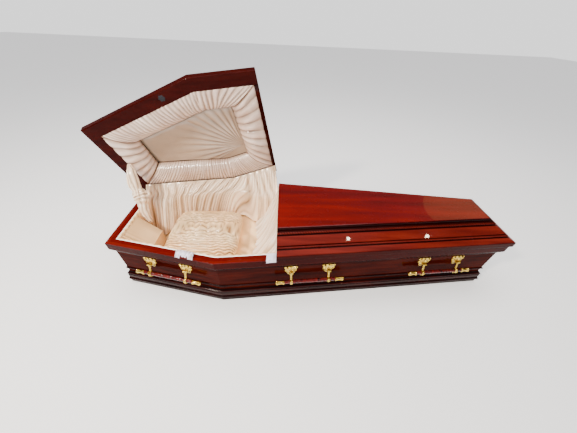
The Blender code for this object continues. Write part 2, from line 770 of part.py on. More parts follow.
def make_wedge(inset):
    """Sloped padding at the head end, from the near wall to the foot of the lid stay."""
    back_x = HEAD_X + inset
    front_x = back_x + WEDGE_RUN
    top = RIM_TOP - WEDGE_TOP_BELOW_RIM
    base = MATTRESS_TOP + GAP
    near_y = along_side(NEAR_HEAD_SIDE, back_x, DRAPE_INSET + CLOTH_CLEAR).y
    profile = [(back_x, base), (front_x, base), (front_x, top - WEDGE_DROP), (back_x, top)]
    points = [(x, near_y, z) for x, z in profile]
    mesh = prism_mesh("head_wedge", points, Vector((0, WEDGE_FAR_Y - near_y, 0)))
    add_object("head_wedge", mesh, "satin")


def make_pillow():
    """Plump cushion from a coarse cage."""
    shape = bmesh.new()
    bmesh.ops.create_cube(shape, size=1.0)
    bmesh.ops.scale(shape, vec=(PILLOW_LENGTH, PILLOW_WIDTH, PILLOW_HEIGHT), verts=shape.verts)
    mesh = finish_mesh(bpy.data.meshes.new("pillow"), shape)
    middle_x = HEAD_X + PILLOW_FROM_HEAD + PILLOW_LENGTH / 2
    centre = (middle_x, 0, MATTRESS_TOP + 2 * GAP + PILLOW_HEIGHT / 2)
    pillow = add_object("pillow", mesh, "satin", matrix=Matrix.Translation(centre))
    round_off = pillow.modifiers.new("round", "BEVEL")
    round_off.width = PILLOW_HEIGHT * PILLOW_ROUND_SHARE
    round_off.segments = 4
    smooth(pillow)


def make_lid_lining(parent):
    """Puffed border and pleated centre panel under the head lid, shut."""
    ring = border_ring()
    outer = FRAME_WIDTH + GAP
    inner = BORDER_INNER_INSET
    low = LID_UNDER + BORDER_DIP
    high = low + BORDER_RISE
    crown = outer + (inner - outer) * BORDER_CROWN_SHARE
    swell = [
        (outer, low + BORDER_EDGE_RISE),
        (outer + BORDER_EDGE_RUN, low),
        (crown, low + BORDER_EDGE_RISE),
        (inner - BORDER_SHOULDER, low + BORDER_SHOULDER),
        (inner, high),
        (inner - BORDER_SHOULDER, high + PANEL_THICK),
        (crown, high - BORDER_BACK_DROP),
        (outer, STEP_LEVEL - BORDER_EDGE_RISE),
    ]
    make_moulding("lid_border", ring, swell, True, "satin", parent)
    edge = inner + GAP
    layers = [(edge, high), (edge, high + PANEL_THICK)]
    mesh = stacked_mesh("lid_centre_panel", ring, layers)
    add_object("lid_centre_panel", mesh, "satin", parent)


def sheet_object(name, rows, thickness):
    """Cloth laid through rows of points, given its thickness by Solidify."""
    shape = bmesh.new()
    grid = [[shape.verts.new(p) for p in row] for row in rows]
    for upper, lower in zip(grid, grid[1:]):
        for i in range(len(upper) - 1):
            shape.faces.new((upper[i], lower[i], lower[i + 1], upper[i + 1]))
    mesh = finish_mesh(bpy.data.meshes.new(name), shape)
    obj = add_object(name, mesh, "satin")
    solid = obj.modifiers.new("cloth", "SOLIDIFY")
    solid.thickness = thickness
    solid.offset = 0.0
    smooth(obj)
    return obj


def make_hinge_drape():
    """Cloth from the open lid's far side over the rim to the bedding, swept in at the head."""
    lift = opened()
    columns = [
        (HEAD_X + DRAPE_INSET + DRAPE_CLEAR, FAR_HEAD_SIDE, SWEEP_AT_HEAD),
        (HEAD_X + SWEEP_FROM_HEAD, FAR_HEAD_SIDE, SWEEP_AT_PILLOW),
        (HEAD_X + PILLOW_FROM_HEAD - DRAPE_THICK, FAR_HEAD_SIDE, 0.0),
        (SHOULDER_X, FAR_HEAD_SIDE, 0.0),
        (CUT_X - RAIL_THICK - 2 * LID_SPLIT, FAR_FOOT_SIDE, 0.0),
    ]
    over, inside, foot, lid_edge = [], [], [], []
    for x, side, sweep in columns:
        shut = along_side(side, x, DRAPE_INSET)
        lid_edge.append(lift @ Vector((shut.x, shut.y, LID_UNDER - DRAPE_UNDER_LID)))
        rim = along_side(side, x, WALL_INNER + LINING_CLEAR)
        wall = along_side(side, x, DRAPE_INSET + DRAPE_CLEAR / 2)
        over.append((rim.x, rim.y, RIM_TOP + DRAPE_THICK))
        inside.append((wall.x, wall.y - sweep * SWEEP_TOP_SHARE, RIM_TOP - 2 * DRAPE_THICK))
        foot.append((wall.x, wall.y - sweep, MATTRESS_TOP + DRAPE_CLEAR))
    sheet_object("hinge_drape", [lid_edge, over, inside, foot], DRAPE_THICK)


def make_apron():
    """Cloth from the foot lid's cut end down to the bedding, towards the head."""
    top_z = TOP_LEVEL + TOP_THICK - TOP_ROUND
    face_x = CUT_X + LID_SPLIT / 2 - GAP - APRON_THICK
    steps = 6
    rows = []
    for i in range(steps + 1):
        share = i / steps
        z = top_z + (MATTRESS_TOP + APRON_FOOT - top_z) * share
        x = face_x - APRON_RUN * (share ** 2 * (1 - APRON_SAG) + share * APRON_SAG)
        if z > ROPE_LEVEL:
            inset = TOP_INSET + APRON_TOP_CLEAR
        else:
            inset = DRAPE_INSET + CLOTH_CLEAR
        half = -along_side(NEAR_FOOT_SIDE, x, inset).y
        rows.append([(x, half * side, z) for side in (-1, -0.5, 0, 0.5, 1)])
    sheet_object("foot_apron", rows, APRON_THICK)


def make_stay_sleeve():
    """Gathered sleeve over the lid stay, from the lid's head end down into the body."""
    lift = opened()
    x = HEAD_X + FRAME_WIDTH + SLEEVE_INSET
    top = lift @ Vector((x, SLEEVE_LID_Y, LID_UNDER - SLEEVE_UNDER_LID))
    foot = Vector((x, SLEEVE_BODY_Y, RIM_TOP - SLEEVE_BELOW_RIM))
    curve = bpy.data.curves.new("lid_stay_sleeve", "CURVE")
    curve.dimensions = "3D"
    curve.bevel_depth = SLEEVE_RADIUS
    curve.bevel_resolution = 2
    curve.use_fill_caps = True
    spline = curve.splines.new("POLY")
    steps = 4
    spline.points.add(steps)
    for i, point in enumerate(spline.points):
        share = i / steps
        place = top.lerp(foot, share) + Vector((math.sin(math.pi * share) * SLEEVE_BOW, 0, 0))
        point.co = (*place, 1.0)
    add_object("lid_stay_sleeve", curve, "satin")


def make_head_lid():
    """Head lid, hung on an empty on the hinge axis that holds it open."""
    frame = hinge_frame()
    pivot = add_empty("head_lid_hinge", frame @ Matrix.Rotation(-OPEN_ANGLE, 4, "X"))
    shut = add_empty("head_lid_shut", frame.inverted())
    shut.parent = pivot
    make_lid("head_lid", head_lid_path(), CUT_X - LID_SPLIT / 2, -1, shut)
    make_lid_lining(shut)
    make_hinge(pivot)


def main():
    clear_scene()
    make_collection(COLLECTION)
    make_collection(CUTTERS)
    make_body()
    make_lid("foot_lid", foot_lid_path(), CUT_X + LID_SPLIT / 2, 1)
    make_head_lid()
    make_handles()
    make_bedding()
    make_hinge_drape()
    make_apron()
    make_stay_sleeve()


main()
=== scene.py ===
"""Looks of the wooden coffin: lacquered mouldings, gold plated handles and satin lining."""

import json
import math

import bmesh
import bpy
import numpy as np
from mathutils import Matrix, Vector


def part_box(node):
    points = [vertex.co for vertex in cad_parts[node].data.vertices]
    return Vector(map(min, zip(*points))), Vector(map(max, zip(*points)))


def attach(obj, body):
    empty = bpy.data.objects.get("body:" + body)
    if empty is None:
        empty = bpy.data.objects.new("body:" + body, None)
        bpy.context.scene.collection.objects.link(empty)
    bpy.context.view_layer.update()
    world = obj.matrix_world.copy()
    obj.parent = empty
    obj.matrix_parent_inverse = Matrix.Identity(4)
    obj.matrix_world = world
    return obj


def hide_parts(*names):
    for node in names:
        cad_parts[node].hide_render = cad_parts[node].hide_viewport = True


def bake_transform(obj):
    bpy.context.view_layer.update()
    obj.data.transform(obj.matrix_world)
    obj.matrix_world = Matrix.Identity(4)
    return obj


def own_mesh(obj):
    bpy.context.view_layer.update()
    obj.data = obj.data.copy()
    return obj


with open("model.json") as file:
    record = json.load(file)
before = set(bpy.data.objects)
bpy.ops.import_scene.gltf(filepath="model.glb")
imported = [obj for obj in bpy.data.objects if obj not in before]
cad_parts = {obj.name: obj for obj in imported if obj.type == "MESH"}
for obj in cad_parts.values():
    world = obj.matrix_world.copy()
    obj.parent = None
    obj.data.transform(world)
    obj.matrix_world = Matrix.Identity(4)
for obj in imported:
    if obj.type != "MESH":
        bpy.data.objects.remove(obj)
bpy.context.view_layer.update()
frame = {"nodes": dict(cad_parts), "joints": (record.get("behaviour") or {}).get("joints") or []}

# Outline of the lid seen from above, in metres
LENGTH = 2.050
HEAD_HALF = 0.221
SHOULDER_HALF = 0.336
FOOT_HALF = 0.187
HEAD_X = -LENGTH / 2
FOOT_X = LENGTH / 2
SHOULDER_X = HEAD_X + 0.549
CUT_X = HEAD_X + 0.835
LID_SPLIT = 0.003
GAP = 0.0003

# Levels and insets shared with the frame
RIM_TOP = 0.316
WALL_INSET = 0.024
WALL_INNER = 0.044
RIM_INSET = 0.0075
LID_UNDER = RIM_TOP + GAP
FRAME_WIDTH = 0.057
FLOOR_TOP = 0.0195
MATTRESS_TOP = 0.120
TOP_LEVEL = 0.410
TOP_INSET = 0.1085
TOP_SURFACE = 0.4215
RAIL_THICK = 0.0196
BORDER_INNER = 0.172
BORDER_CUT_SHARE = 1.15
ROPE_PITCH = 0.0125
ROPE_STEPS_A_STRAND = 4
MOULDING_STEP = 0.0016

# Small trim of the near side
CATCH_PLACE = (-0.611, -0.281)
CATCH_PROUD = 0.00006
CATCH_EDGE_PROUD = 0.00005
RIBBON_X = -0.614

# Soft goods
SATIN_ROUGHNESS = 0.20
SMOCK_PITCH = 0.0182
SLEEVE_KNOT_SHARE = 0.515
DRAPE_COLUMNS = 301
SEAM_WIDTH = 0.006

# Sides of the lid border: ruched, wavelength and height of its folds, seam at each end
BORDER_SIDES = [
    (True, 0.016, 0.0052, (False, True)), (False, 0.058, 0.0090, (True, True)),
    (True, 0.021, 0.0066, (True, False)), (True, 0.030, 0.0085, (False, True)),
    (False, 0.058, 0.0090, (True, True)), (True, 0.016, 0.0052, (True, False))]

# Handles, measured from the pivot: X along the wall, Y outwards, Z up
PIVOT_OUT = 0.016
BAR_OUT = 0.016
BAR_DROP = 0.049
BAR_PLACE = (0, BAR_OUT, -BAR_DROP)
BAR_RADIUS = 0.0103
BAR_HALF = 0.1775
TIP_LENGTH = 0.045
ARM_HALF_SPACING = 0.097
LUG_TOP = 0.036
LUG_HALF_LEAF = [(0.0, 0.92), (0.31, 1.0), (0.5, 0.86), (0.83, 1.0), (0.94, 0.72),
                 (0.75, 0.42), (0.86, 0.11), (0.58, -0.11), (0.5, -0.47), (0.25, -0.75)]

# Sides of the outline used here, numbered from the near head corner all the way round
NEAR_HEAD_SIDE, NEAR_FOOT_SIDE, FAR_FOOT_SIDE = 0, 1, 3

COFFIN = "coffin"
HEAD_LID = "head_lid"


def joint(name):
    return next(j for j in frame["joints"] if j["name"] == name)


LID_JOINT = joint("lid_hinge")
OPEN_ANGLE = math.radians(LID_JOINT["range_deg"][1])
HINGE_POINT = Vector(LID_JOINT["pos_m"])
HINGE_AXIS = Vector(LID_JOINT["axis"]).normalized()
OPENED = (Matrix.Translation(HINGE_POINT) @ Matrix.Rotation(-OPEN_ANGLE, 4, HINGE_AXIS)
          @ Matrix.Translation(-HINGE_POINT))


# Smooth random numbers

def value_noise(x, y, seed):
    """Smooth noise from -1 to 1 at arrays of places, the same each run."""
    table = np.random.RandomState(seed).uniform(-1, 1, (256, 256))
    xi, yi = np.floor(x).astype(int), np.floor(y).astype(int)
    fx, fy = x - xi, y - yi
    fx, fy = fx * fx * (3 - 2 * fx), fy * fy * (3 - 2 * fy)
    low = table[xi % 256, yi % 256] * (1 - fx) + table[(xi + 1) % 256, yi % 256] * fx
    high = table[xi % 256, (yi + 1) % 256] * (1 - fx) + table[(xi + 1) % 256, (yi + 1) % 256] * fx
    return low * (1 - fy) + high * fy


def gathers(place, across, seed, wavelength, slant=0.0, drift=0.5):
    """Height from -1 to 1 of folds that run across a strip: round ridges, narrow creases."""
    wander = value_noise(place / wavelength * 0.4, across * 1.3, seed) * drift
    phase = np.pi * (place / wavelength + slant * across + wander)
    ridge = 2 * np.abs(np.sin(phase)) ** 0.62 - 1
    strength = 0.70 + 0.30 * value_noise(place / wavelength * 0.6 + 9, across * 1.8, seed + 1)
    fine = value_noise(place / wavelength * 2.1, across * 3.5, seed + 2)
    return ridge * strength + 0.20 * fine


def smooth_step(value):
    value = np.clip(value, 0, 1)
    return value * value * (3 - 2 * value)


# Outline geometry

def outline(inset=0.0):
    """Six corners of the outline, mitred inwards by an inset, seen from above."""
    corners = [np.array(p) for p in (
        (HEAD_X, -HEAD_HALF), (SHOULDER_X, -SHOULDER_HALF), (FOOT_X, -FOOT_HALF),
        (FOOT_X, FOOT_HALF), (SHOULDER_X, SHOULDER_HALF), (HEAD_X, HEAD_HALF))]
    moved = []
    for i, corner in enumerate(corners):
        before = corner - corners[i - 1]
        after = corners[(i + 1) % 6] - corner
        before = before / np.linalg.norm(before)
        after = after / np.linalg.norm(after)
        inward = np.array((-before[1] - after[1], before[0] + after[0]))
        moved.append(corner + inward * inset / (1 + before @ after))
    return moved


def along_side(side, x, inset):
    corners = outline(inset)
    start, end = corners[side], corners[(side + 1) % 6]
    return start + (end - start) * (x - start[0]) / (end[0] - start[0])


class Station:
    """Corner or cut of a moulding's path; its place moves evenly with the inset."""

    def __init__(self, place):
        self.base = np.array(place(0.0))
        self.rate = (np.array(place(0.1)) - self.base) / 0.1

    def at(self, insets):
        return self.base + np.multiply.outer(np.asarray(insets, float), self.rate)


def corner_station(index):
    return Station(lambda inset: outline(inset)[index])


def cut_station(side, x):
    return Station(lambda inset: along_side(side, x, inset))


NEAR_HEAD_LINE = cut_station(NEAR_HEAD_SIDE, 0.0), cut_station(NEAR_HEAD_SIDE, 1.0)
NEAR_FOOT_LINE = cut_station(NEAR_FOOT_SIDE, 0.0), cut_station(NEAR_FOOT_SIDE, 1.0)


def half_width(x, inset):
    """Distance from the middle line to an inset side at a given x; arrays are allowed."""
    x, inset = np.broadcast_arrays(np.asarray(x, float), np.asarray(inset, float))
    halves = []
    for first, second in (NEAR_HEAD_LINE, NEAR_FOOT_LINE):
        start, end = first.at(inset)[..., 1], second.at(inset)[..., 1]
        halves.append(-(start + (end - start) * x))
    return np.minimum(halves[0], halves[1])


def body_ring():
    return [corner_station(i) for i in range(6)]


def foot_lid_path():
    x = CUT_X + LID_SPLIT / 2
    return [cut_station(NEAR_FOOT_SIDE, x), corner_station(2), corner_station(3),
            cut_station(FAR_FOOT_SIDE, x)]


def head_lid_path():
    x = CUT_X - LID_SPLIT / 2
    corners = [corner_station(i) for i in (4, 5, 0, 1)]
    return [cut_station(FAR_FOOT_SIDE, x), *corners, cut_station(NEAR_FOOT_SIDE, x)]


def border_ring():
    first_x = CUT_X - LID_SPLIT / 2 - RAIL_THICK - GAP

    def cut_x(inset):
        return first_x - (inset - FRAME_WIDTH - GAP) * BORDER_CUT_SHARE

    corners = [corner_station(i) for i in (4, 5, 0, 1)]
    near = Station(lambda inset: along_side(NEAR_FOOT_SIDE, cut_x(inset), inset))
    far = Station(lambda inset: along_side(FAR_FOOT_SIDE, cut_x(inset), inset))
    return [*corners, near, far]


def arc(centre, radius, start, end, steps):
    angles = np.radians(np.linspace(start, end, steps + 1))
    return [(centre[0] + radius * math.cos(a), centre[1] + radius * math.sin(a)) for a in angles]


def ogee(start, end, steps):
    points = []
    for share in np.linspace(0, 1, steps + 1):
        across = (1 - math.cos(math.pi * share)) / 2
        points.append((start[0] + (end[0] - start[0]) * across,
                       start[1] + (end[1] - start[1]) * share))
    return points


# Mesh making

def grid_mesh(name, points, close_rows=False, close_columns=False, caps=False):
    """Mesh over a grid of points (rows, columns, 3)."""
    points = np.asarray(points, float)
    rows, columns = points.shape[:2]
    index = np.arange(rows * columns).reshape(rows, columns)
    next_row = np.roll(index, -1, 0) if close_rows else index[1:]
    here = index if close_rows else index[:-1]
    if close_columns:
        a, b = here, np.roll(here, -1, 1)
        c, d = np.roll(next_row, -1, 1), next_row
    else:
        a, b = here[:, :-1], here[:, 1:]
        c, d = next_row[:, 1:], next_row[:, :-1]
    faces = np.stack([a, b, c, d], -1).reshape(-1, 4).tolist()
    if caps:
        faces.append(index[0][::-1].tolist())
        faces.append(index[-1].tolist())
    mesh = bpy.data.meshes.new(name)
    mesh.from_pydata(points.reshape(-1, 3).tolist(), [], faces)
    mesh.validate()
    return mesh


def split_axes(points):
    """X, Y and Z of a grid of points, as views that change with it."""
    return points[:, :, 0], points[:, :, 1], points[:, :, 2]


def set_attribute(mesh, name, values):
    layer = mesh.attributes.new(name, "FLOAT", "POINT")
    layer.data.foreach_set("value", np.asarray(values, np.float32).ravel())


def face_outwards(mesh):
    """Turn every face to point away from the inside of a closed mesh."""
    shape = bmesh.new()
    shape.from_mesh(mesh)
    bmesh.ops.recalc_face_normals(shape, faces=shape.faces)
    shape.to_mesh(mesh)
    shape.free()


def combined_mesh(name, meshes):
    """One mesh that holds several, each with its faces outwards."""
    shape = bmesh.new()
    for mesh in meshes:
        face_outwards(mesh)
        shape.from_mesh(mesh)
    made = bpy.data.meshes.new(name)
    shape.to_mesh(made)
    shape.free()
    return made


def link_object(name, data):
    obj = bpy.data.objects.new(name, data)
    bpy.context.scene.collection.objects.link(obj)
    return obj


def add_piece(name, mesh, body, material, replaces=(), matrix=None, angle=None):
    """Link a piece, give it its material and body."""
    obj = link_object(name, mesh)
    mesh.materials.clear()
    mesh.materials.append(material)
    mesh.shade_smooth()
    if angle is not None:
        mesh.set_sharp_from_angle(angle=math.radians(angle))
    if matrix is not None:
        mesh.transform(matrix)
    if replaces:
        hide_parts(*replaces)
    if body:
        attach(obj, body)
    return obj


def thicken(obj, thickness):
    """Give a cloth its thickness, worked into the mesh."""
    solid = obj.modifiers.new("cloth", "SOLIDIFY")
    solid.thickness = thickness
    solid.offset = 0.0
    graph = bpy.context.evaluated_depsgraph_get()
    made = bpy.data.meshes.new_from_object(obj.evaluated_get(graph))
    obj.modifiers.clear()
    obj.data = made


def spline_rows(rows, steps):
    """Smooth surface rows through a few given rows."""
    rows = np.array(rows, float)
    padded = np.concatenate([2 * rows[:1] - rows[1:2], rows, 2 * rows[-1:] - rows[-2:-1]])
    made = []
    for k in range(len(rows) - 1):
        p0, p1, p2, p3 = padded[k:k + 4]
        for t in np.linspace(0, 1, steps, endpoint=False):
            made.append(0.5 * (2 * p1 + (p2 - p0) * t + (2 * p0 - 5 * p1 + 4 * p2 - p3) * t ** 2
                               + (3 * p1 - p0 - 3 * p2 + p3) * t ** 3))
    made.append(rows[-1])
    return np.array(made)


def spline_curve(points, steps):
    return spline_rows([[p] for p in points], steps)[:, 0]


# Materials

def new_material(name):
    made = bpy.data.materials.new(name)
    made.use_nodes = True
    tree = made.node_tree
    shader = tree.nodes["Principled BSDF"]
    return made, tree, shader


def set_inputs(shader, values):
    for key, value in values.items():
        shader.inputs[key].default_value = value


def add_node(tree, kind, **values):
    node = tree.nodes.new(kind)
    for key, value in values.items():
        node.inputs[key].default_value = value
    return node


def color_ramp(tree, factor, stops):
    ramp = tree.nodes.new("ShaderNodeValToRGB")
    elements = ramp.color_ramp.elements
    while len(elements) < len(stops):
        elements.new(0.5)
    for element, (place, color) in zip(elements, stops):
        element.position = place
        element.color = (*color, 1.0)
    tree.links.new(factor, ramp.inputs["Fac"])
    return ramp.outputs["Color"]


def object_coordinates(tree, scale=(1, 1, 1)):
    coordinates = tree.nodes.new("ShaderNodeTexCoord")
    mapping = tree.nodes.new("ShaderNodeMapping")
    mapping.inputs["Scale"].default_value = scale
    tree.links.new(coordinates.outputs["Object"], mapping.inputs["Vector"])
    return mapping.outputs["Vector"]


def noise_value(tree, vector, scale, detail=4.0, distortion=0.0):
    noise = add_node(tree, "ShaderNodeTexNoise", Scale=scale, Detail=detail, Distortion=distortion)
    tree.links.new(vector, noise.inputs["Vector"])
    return noise.outputs["Fac"]


def multiply_color(tree, factor, first, second):
    mix = tree.nodes.new("ShaderNodeMix")
    mix.data_type = "RGBA"
    mix.blend_type = "MULTIPLY"
    mix.inputs[0].default_value = factor
    tree.links.new(first, mix.inputs[6])
    tree.links.new(second, mix.inputs[7])
    return mix.outputs[2]


def attribute_value(tree, name):
    node = tree.nodes.new("ShaderNodeAttribute")
    node.attribute_name = name
    return node.outputs["Fac"]


def value_range(tree, factor, low, high):
    span = tree.nodes.new("ShaderNodeMapRange")
    span.inputs["To Min"].default_value = low
    span.inputs["To Max"].default_value = high
    tree.links.new(factor, span.inputs["Value"])
    return span


def roughness_range(tree, shader, factor, low, high):
    rough = value_range(tree, factor, low, high)
    tree.links.new(rough.outputs["Result"], shader.inputs["Roughness"])


def add_bump(tree, shader, heights):
    """Chain of bumps, each (height socket, strength, distance)."""
    normal = None
    for height, strength, distance in heights:
        bump = add_node(tree, "ShaderNodeBump", Strength=strength, Distance=distance)
        tree.links.new(height, bump.inputs["Height"])
        if normal is not None:
            tree.links.new(normal, bump.inputs["Normal"])
        normal = bump.outputs["Normal"]
    tree.links.new(normal, shader.inputs["Normal"])


def lacquer(name, dark, middle, light, coat=0.6, grain=(1.3, 24, 24), with_stain_and_painted_shade=True,
            gloss=0.12):
    """Glossy lacquer over streaky red brown wood, darker where staining gathers and where shade is
    painted into grooves, coves and undersides.
    """
    made, tree, shader = new_material(name)
    streaks = noise_value(tree, object_coordinates(tree, grain), 1.6, 6.0, 0.35)
    color = color_ramp(tree, streaks, [(0.28, dark), (0.5, middle), (0.74, light)])
    clouds = noise_value(tree, object_coordinates(tree, (1.0, 2.2, 2.2)), 1.7, 2.0)
    shade = color_ramp(tree, clouds, [(0.30, (0.78, 0.66, 0.66)), (0.70, (1.10, 1.10, 1.10))])
    color = multiply_color(tree, 0.75, color, shade)
    if with_stain_and_painted_shade:
        # Painted shade together with gathered staining: low values darken grooves, coves and
        # undersides
        stain_and_painted_shade = attribute_value(tree, "stain_and_painted_shade")
        groove = color_ramp(tree, stain_and_painted_shade, [(0.0, (0.06, 0.03, 0.03)), (1.0, (1, 1, 1))])
        color = multiply_color(tree, 1.0, color, groove)
    tree.links.new(color, shader.inputs["Base Color"])
    spread = noise_value(tree, object_coordinates(tree), 9.0, 3.0)
    roughness_range(tree, shader, spread, 0.20, 0.34)
    shader.inputs["Coat Weight"].default_value = coat
    if with_stain_and_painted_shade:
        # The coat is thinned where shade is painted, so the dark grooves show little reflection
        weight = value_range(tree, stain_and_painted_shade, coat * 0.15, coat)
        weight.inputs["From Min"].default_value = 0.3
        tree.links.new(weight.outputs["Result"], shader.inputs["Coat Weight"])
    set_inputs(shader, {"Coat Roughness": 0.03, "Specular IOR Level": gloss})
    ripple = noise_value(tree, object_coordinates(tree), 22.0, 2.0)
    pores = noise_value(tree, object_coordinates(tree, (6, 160, 160)), 4.0, 2.0)
    add_bump(tree, shader, [(pores, 0.02, 0.0003), (ripple, 0.035, 0.002)])
    return made


def paint_light_on_tops(material, top):
    """Painted light: brighter red on the faces that look up, as along the top edge of the walls,
    where the light from above falls.
    """
    tree = material.node_tree
    shader = tree.nodes["Principled BSDF"]
    geometry = tree.nodes.new("ShaderNodeNewGeometry")
    split = tree.nodes.new("ShaderNodeSeparateXYZ")
    tree.links.new(geometry.outputs["Normal"], split.inputs["Vector"])
    upward = color_ramp(tree, split.outputs["Z"], [(0.60, (0, 0, 0)), (0.80, (1, 1, 1))])
    mix = tree.nodes.new("ShaderNodeMix")
    mix.data_type = "RGBA"
    mix.inputs[7].default_value = (*top, 1)
    tree.links.new(upward, mix.inputs[0])
    tree.links.new(shader.inputs["Base Color"].links[0].from_socket, mix.inputs[6])
    tree.links.new(mix.outputs[2], shader.inputs["Base Color"])


def gold_metal(name):
    made, tree, shader = new_material(name)
    vector = object_coordinates(tree)
    tone = noise_value(tree, vector, 55.0, 3.0)
    color = color_ramp(tree, tone, [(0.3, (0.56, 0.35, 0.045)), (0.7, (0.90, 0.66, 0.15))])
    tree.links.new(color, shader.inputs["Base Color"])
    shader.inputs["Metallic"].default_value = 1.0
    roughness_range(tree, shader, tone, 0.12, 0.32)
    hammer = noise_value(tree, vector, 260.0, 2.0)
    add_bump(tree, shader, [(hammer, 0.20, 0.0005)])
    return made


def bar_lacquer(name):
    """Red mottled lacquer of the handle bars."""
    made, tree, shader = new_material(name)
    vector = object_coordinates(tree)
    blotch = noise_value(tree, vector, 60.0, 4.0, 0.6)
    color = color_ramp(tree, blotch, [(0.36, (0.020, 0.001, 0.001)), (0.62, (0.15, 0.006, 0.004))])
    tree.links.new(color, shader.inputs["Base Color"])
    set_inputs(shader, {"Roughness": 0.22, "Coat Weight": 0.35, "Coat Roughness": 0.05,
                        "Specular IOR Level": 0.2})
    add_bump(tree, shader, [(blotch, 0.15, 0.0008)])
    return made


def satin(name, deep, pale):
    """Satin with a fine weave, soft creases and a broad sheen; painted shade in the creases and
    painted highlights on the crests.
    """
    made, tree, shader = new_material(name)
    vector = object_coordinates(tree)
    cloud = noise_value(tree, vector, 7.0, 3.0)
    color = color_ramp(tree, cloud, [(0.3, deep), (0.7, pale)])
    fold_and_painted_shade = attribute_value(tree, "fold_and_painted_shade")
    # Painted shade in the hollows and painted highlight, brighter than the cloth's own colour, on
    # the crests
    shade = color_ramp(tree, fold_and_painted_shade, [(0.0, (0.34, 0.22, 0.14)), (0.42, (0.80, 0.76, 0.71)),
                                    (0.66, (0.98, 0.96, 0.93)), (0.95, (1.40, 1.48, 1.60))])
    color = multiply_color(tree, 1.0, color, shade)
    tree.links.new(color, shader.inputs["Base Color"])
    roughness_range(tree, shader, cloud, SATIN_ROUGHNESS * 0.85, SATIN_ROUGHNESS * 1.2)
    set_inputs(shader, {"Specular IOR Level": 1.0, "Sheen Weight": 0.05, "Sheen Roughness": 0.4})
    creases = noise_value(tree, vector, 34.0, 4.0, 0.8)
    threads = add_node(tree, "ShaderNodeTexWave", Scale=420.0, Distortion=1.5)
    tree.links.new(vector, threads.inputs["Vector"])
    add_bump(tree, shader, [(creases, 0.20, 0.0040), (threads.outputs["Fac"], 0.05, 0.0003)])
    return made


# The wall and rail lacquers are the rim and lid lacquer darkened: painted shade on upright faces
# that the light from above misses
WOOD_WALL = lacquer("wall_lacquer", (0.018, 0.0014, 0.0007), (0.036, 0.0028, 0.0011),
                    (0.060, 0.0060, 0.0020), coat=0.09, with_stain_and_painted_shade=False, gloss=0.0)
WOOD_RAIL = lacquer("rail_lacquer", (0.012, 0.0012, 0.0007), (0.024, 0.0022, 0.0011),
                    (0.040, 0.0040, 0.0020), coat=0.15, with_stain_and_painted_shade=False, gloss=0.0)
WOOD_RIM = lacquer("rim_lacquer", (0.080, 0.0034, 0.0022), (0.128, 0.0058, 0.0034),
                   (0.185, 0.0105, 0.0052), coat=0.30, gloss=0.02)
WOOD_LID = lacquer("lid_lacquer", (0.085, 0.0050, 0.0030), (0.138, 0.0100, 0.0056),
                   (0.195, 0.0180, 0.0090), coat=0.28, gloss=0.02)
WOOD_TOP = lacquer("top_lacquer", (0.080, 0.0009, 0.0006), (0.145, 0.0018, 0.0009),
                   (0.240, 0.0060, 0.0020), coat=0.60, grain=(0.9, 9, 9), gloss=0.08)
WOOD_PLINTH = lacquer("plinth_lacquer", (0.010, 0.0010, 0.0008), (0.022, 0.0018, 0.0014),
                      (0.044, 0.0040, 0.0026), coat=0.20, gloss=0.03)
DARK_METAL = lacquer("catch_metal", (0.004, 0.004, 0.008), (0.008, 0.008, 0.014),
                     (0.014, 0.014, 0.022), coat=0.2, with_stain_and_painted_shade=False)
GOLD = gold_metal("gold_plate")
BAR = bar_lacquer("bar_lacquer")
# Painted light on the upward faces of the darkened wall lacquer
paint_light_on_tops(WOOD_WALL, (0.100, 0.0042, 0.0025))
SATIN_LID = satin("lid_satin", (0.55, 0.39, 0.31), (0.72, 0.56, 0.46))
SATIN_PANEL = satin("panel_satin", (0.38, 0.285, 0.215), (0.48, 0.375, 0.295))
SATIN_PILLOW = satin("pillow_satin", (0.98, 0.64, 0.32), (1.0, 0.74, 0.42))
SATIN_BED = satin("bed_satin", (0.88, 0.57, 0.28), (0.98, 0.69, 0.38))
SATIN_DRAPE = satin("drape_satin", (0.82, 0.60, 0.40), (0.95, 0.77, 0.58))
SATIN_APRON = satin("apron_satin", (0.86, 0.68, 0.48), (0.96, 0.83, 0.68))
SATIN_WHITE = satin("white_satin", (0.56, 0.50, 0.56), (0.68, 0.62, 0.69))
SATIN_CORD = satin("cord_satin", (0.86, 0.74, 0.62), (0.96, 0.86, 0.76))


# Mouldings

def refine(section):
    """Closed section (inset, level, staining and painted shade) cut into short lengths."""
    fine = []
    for here, there in zip(section, section[1:] + section[:1]):
        here, there = np.array(here, float), np.array(there, float)
        pieces = max(1, int(math.ceil(np.linalg.norm((there - here)[:2]) / MOULDING_STEP)))
        fine += [here + (there - here) * i / pieces for i in range(pieces)]
    return np.array(fine)


def wood_piece(name, rows, stain_and_painted_shades, closed, body, material, replaces, matrix,
               angle=None):
    """Wood over rows of points, each row a closed section."""
    mesh = grid_mesh(name, rows, close_rows=closed, close_columns=True, caps=not closed)
    set_attribute(mesh, "stain_and_painted_shade", stain_and_painted_shades)
    face_outwards(mesh)
    return add_piece(name, mesh, body, material, replaces, matrix, angle)


def moulding(name, stations, section, closed, body, material, replaces, matrix=None):
    """Moulding run past every station, its mitres and arrises kept crisp."""
    fine = refine(section)
    rows = [np.column_stack([station.at(fine[:, 0]), fine[:, 1]]) for station in stations]
    stain_and_painted_shades = np.tile(fine[:, 2], len(stations))
    obj = wood_piece(name, rows, stain_and_painted_shades, closed, body, material, replaces, matrix)
    mark_sharp(obj.data, fine)


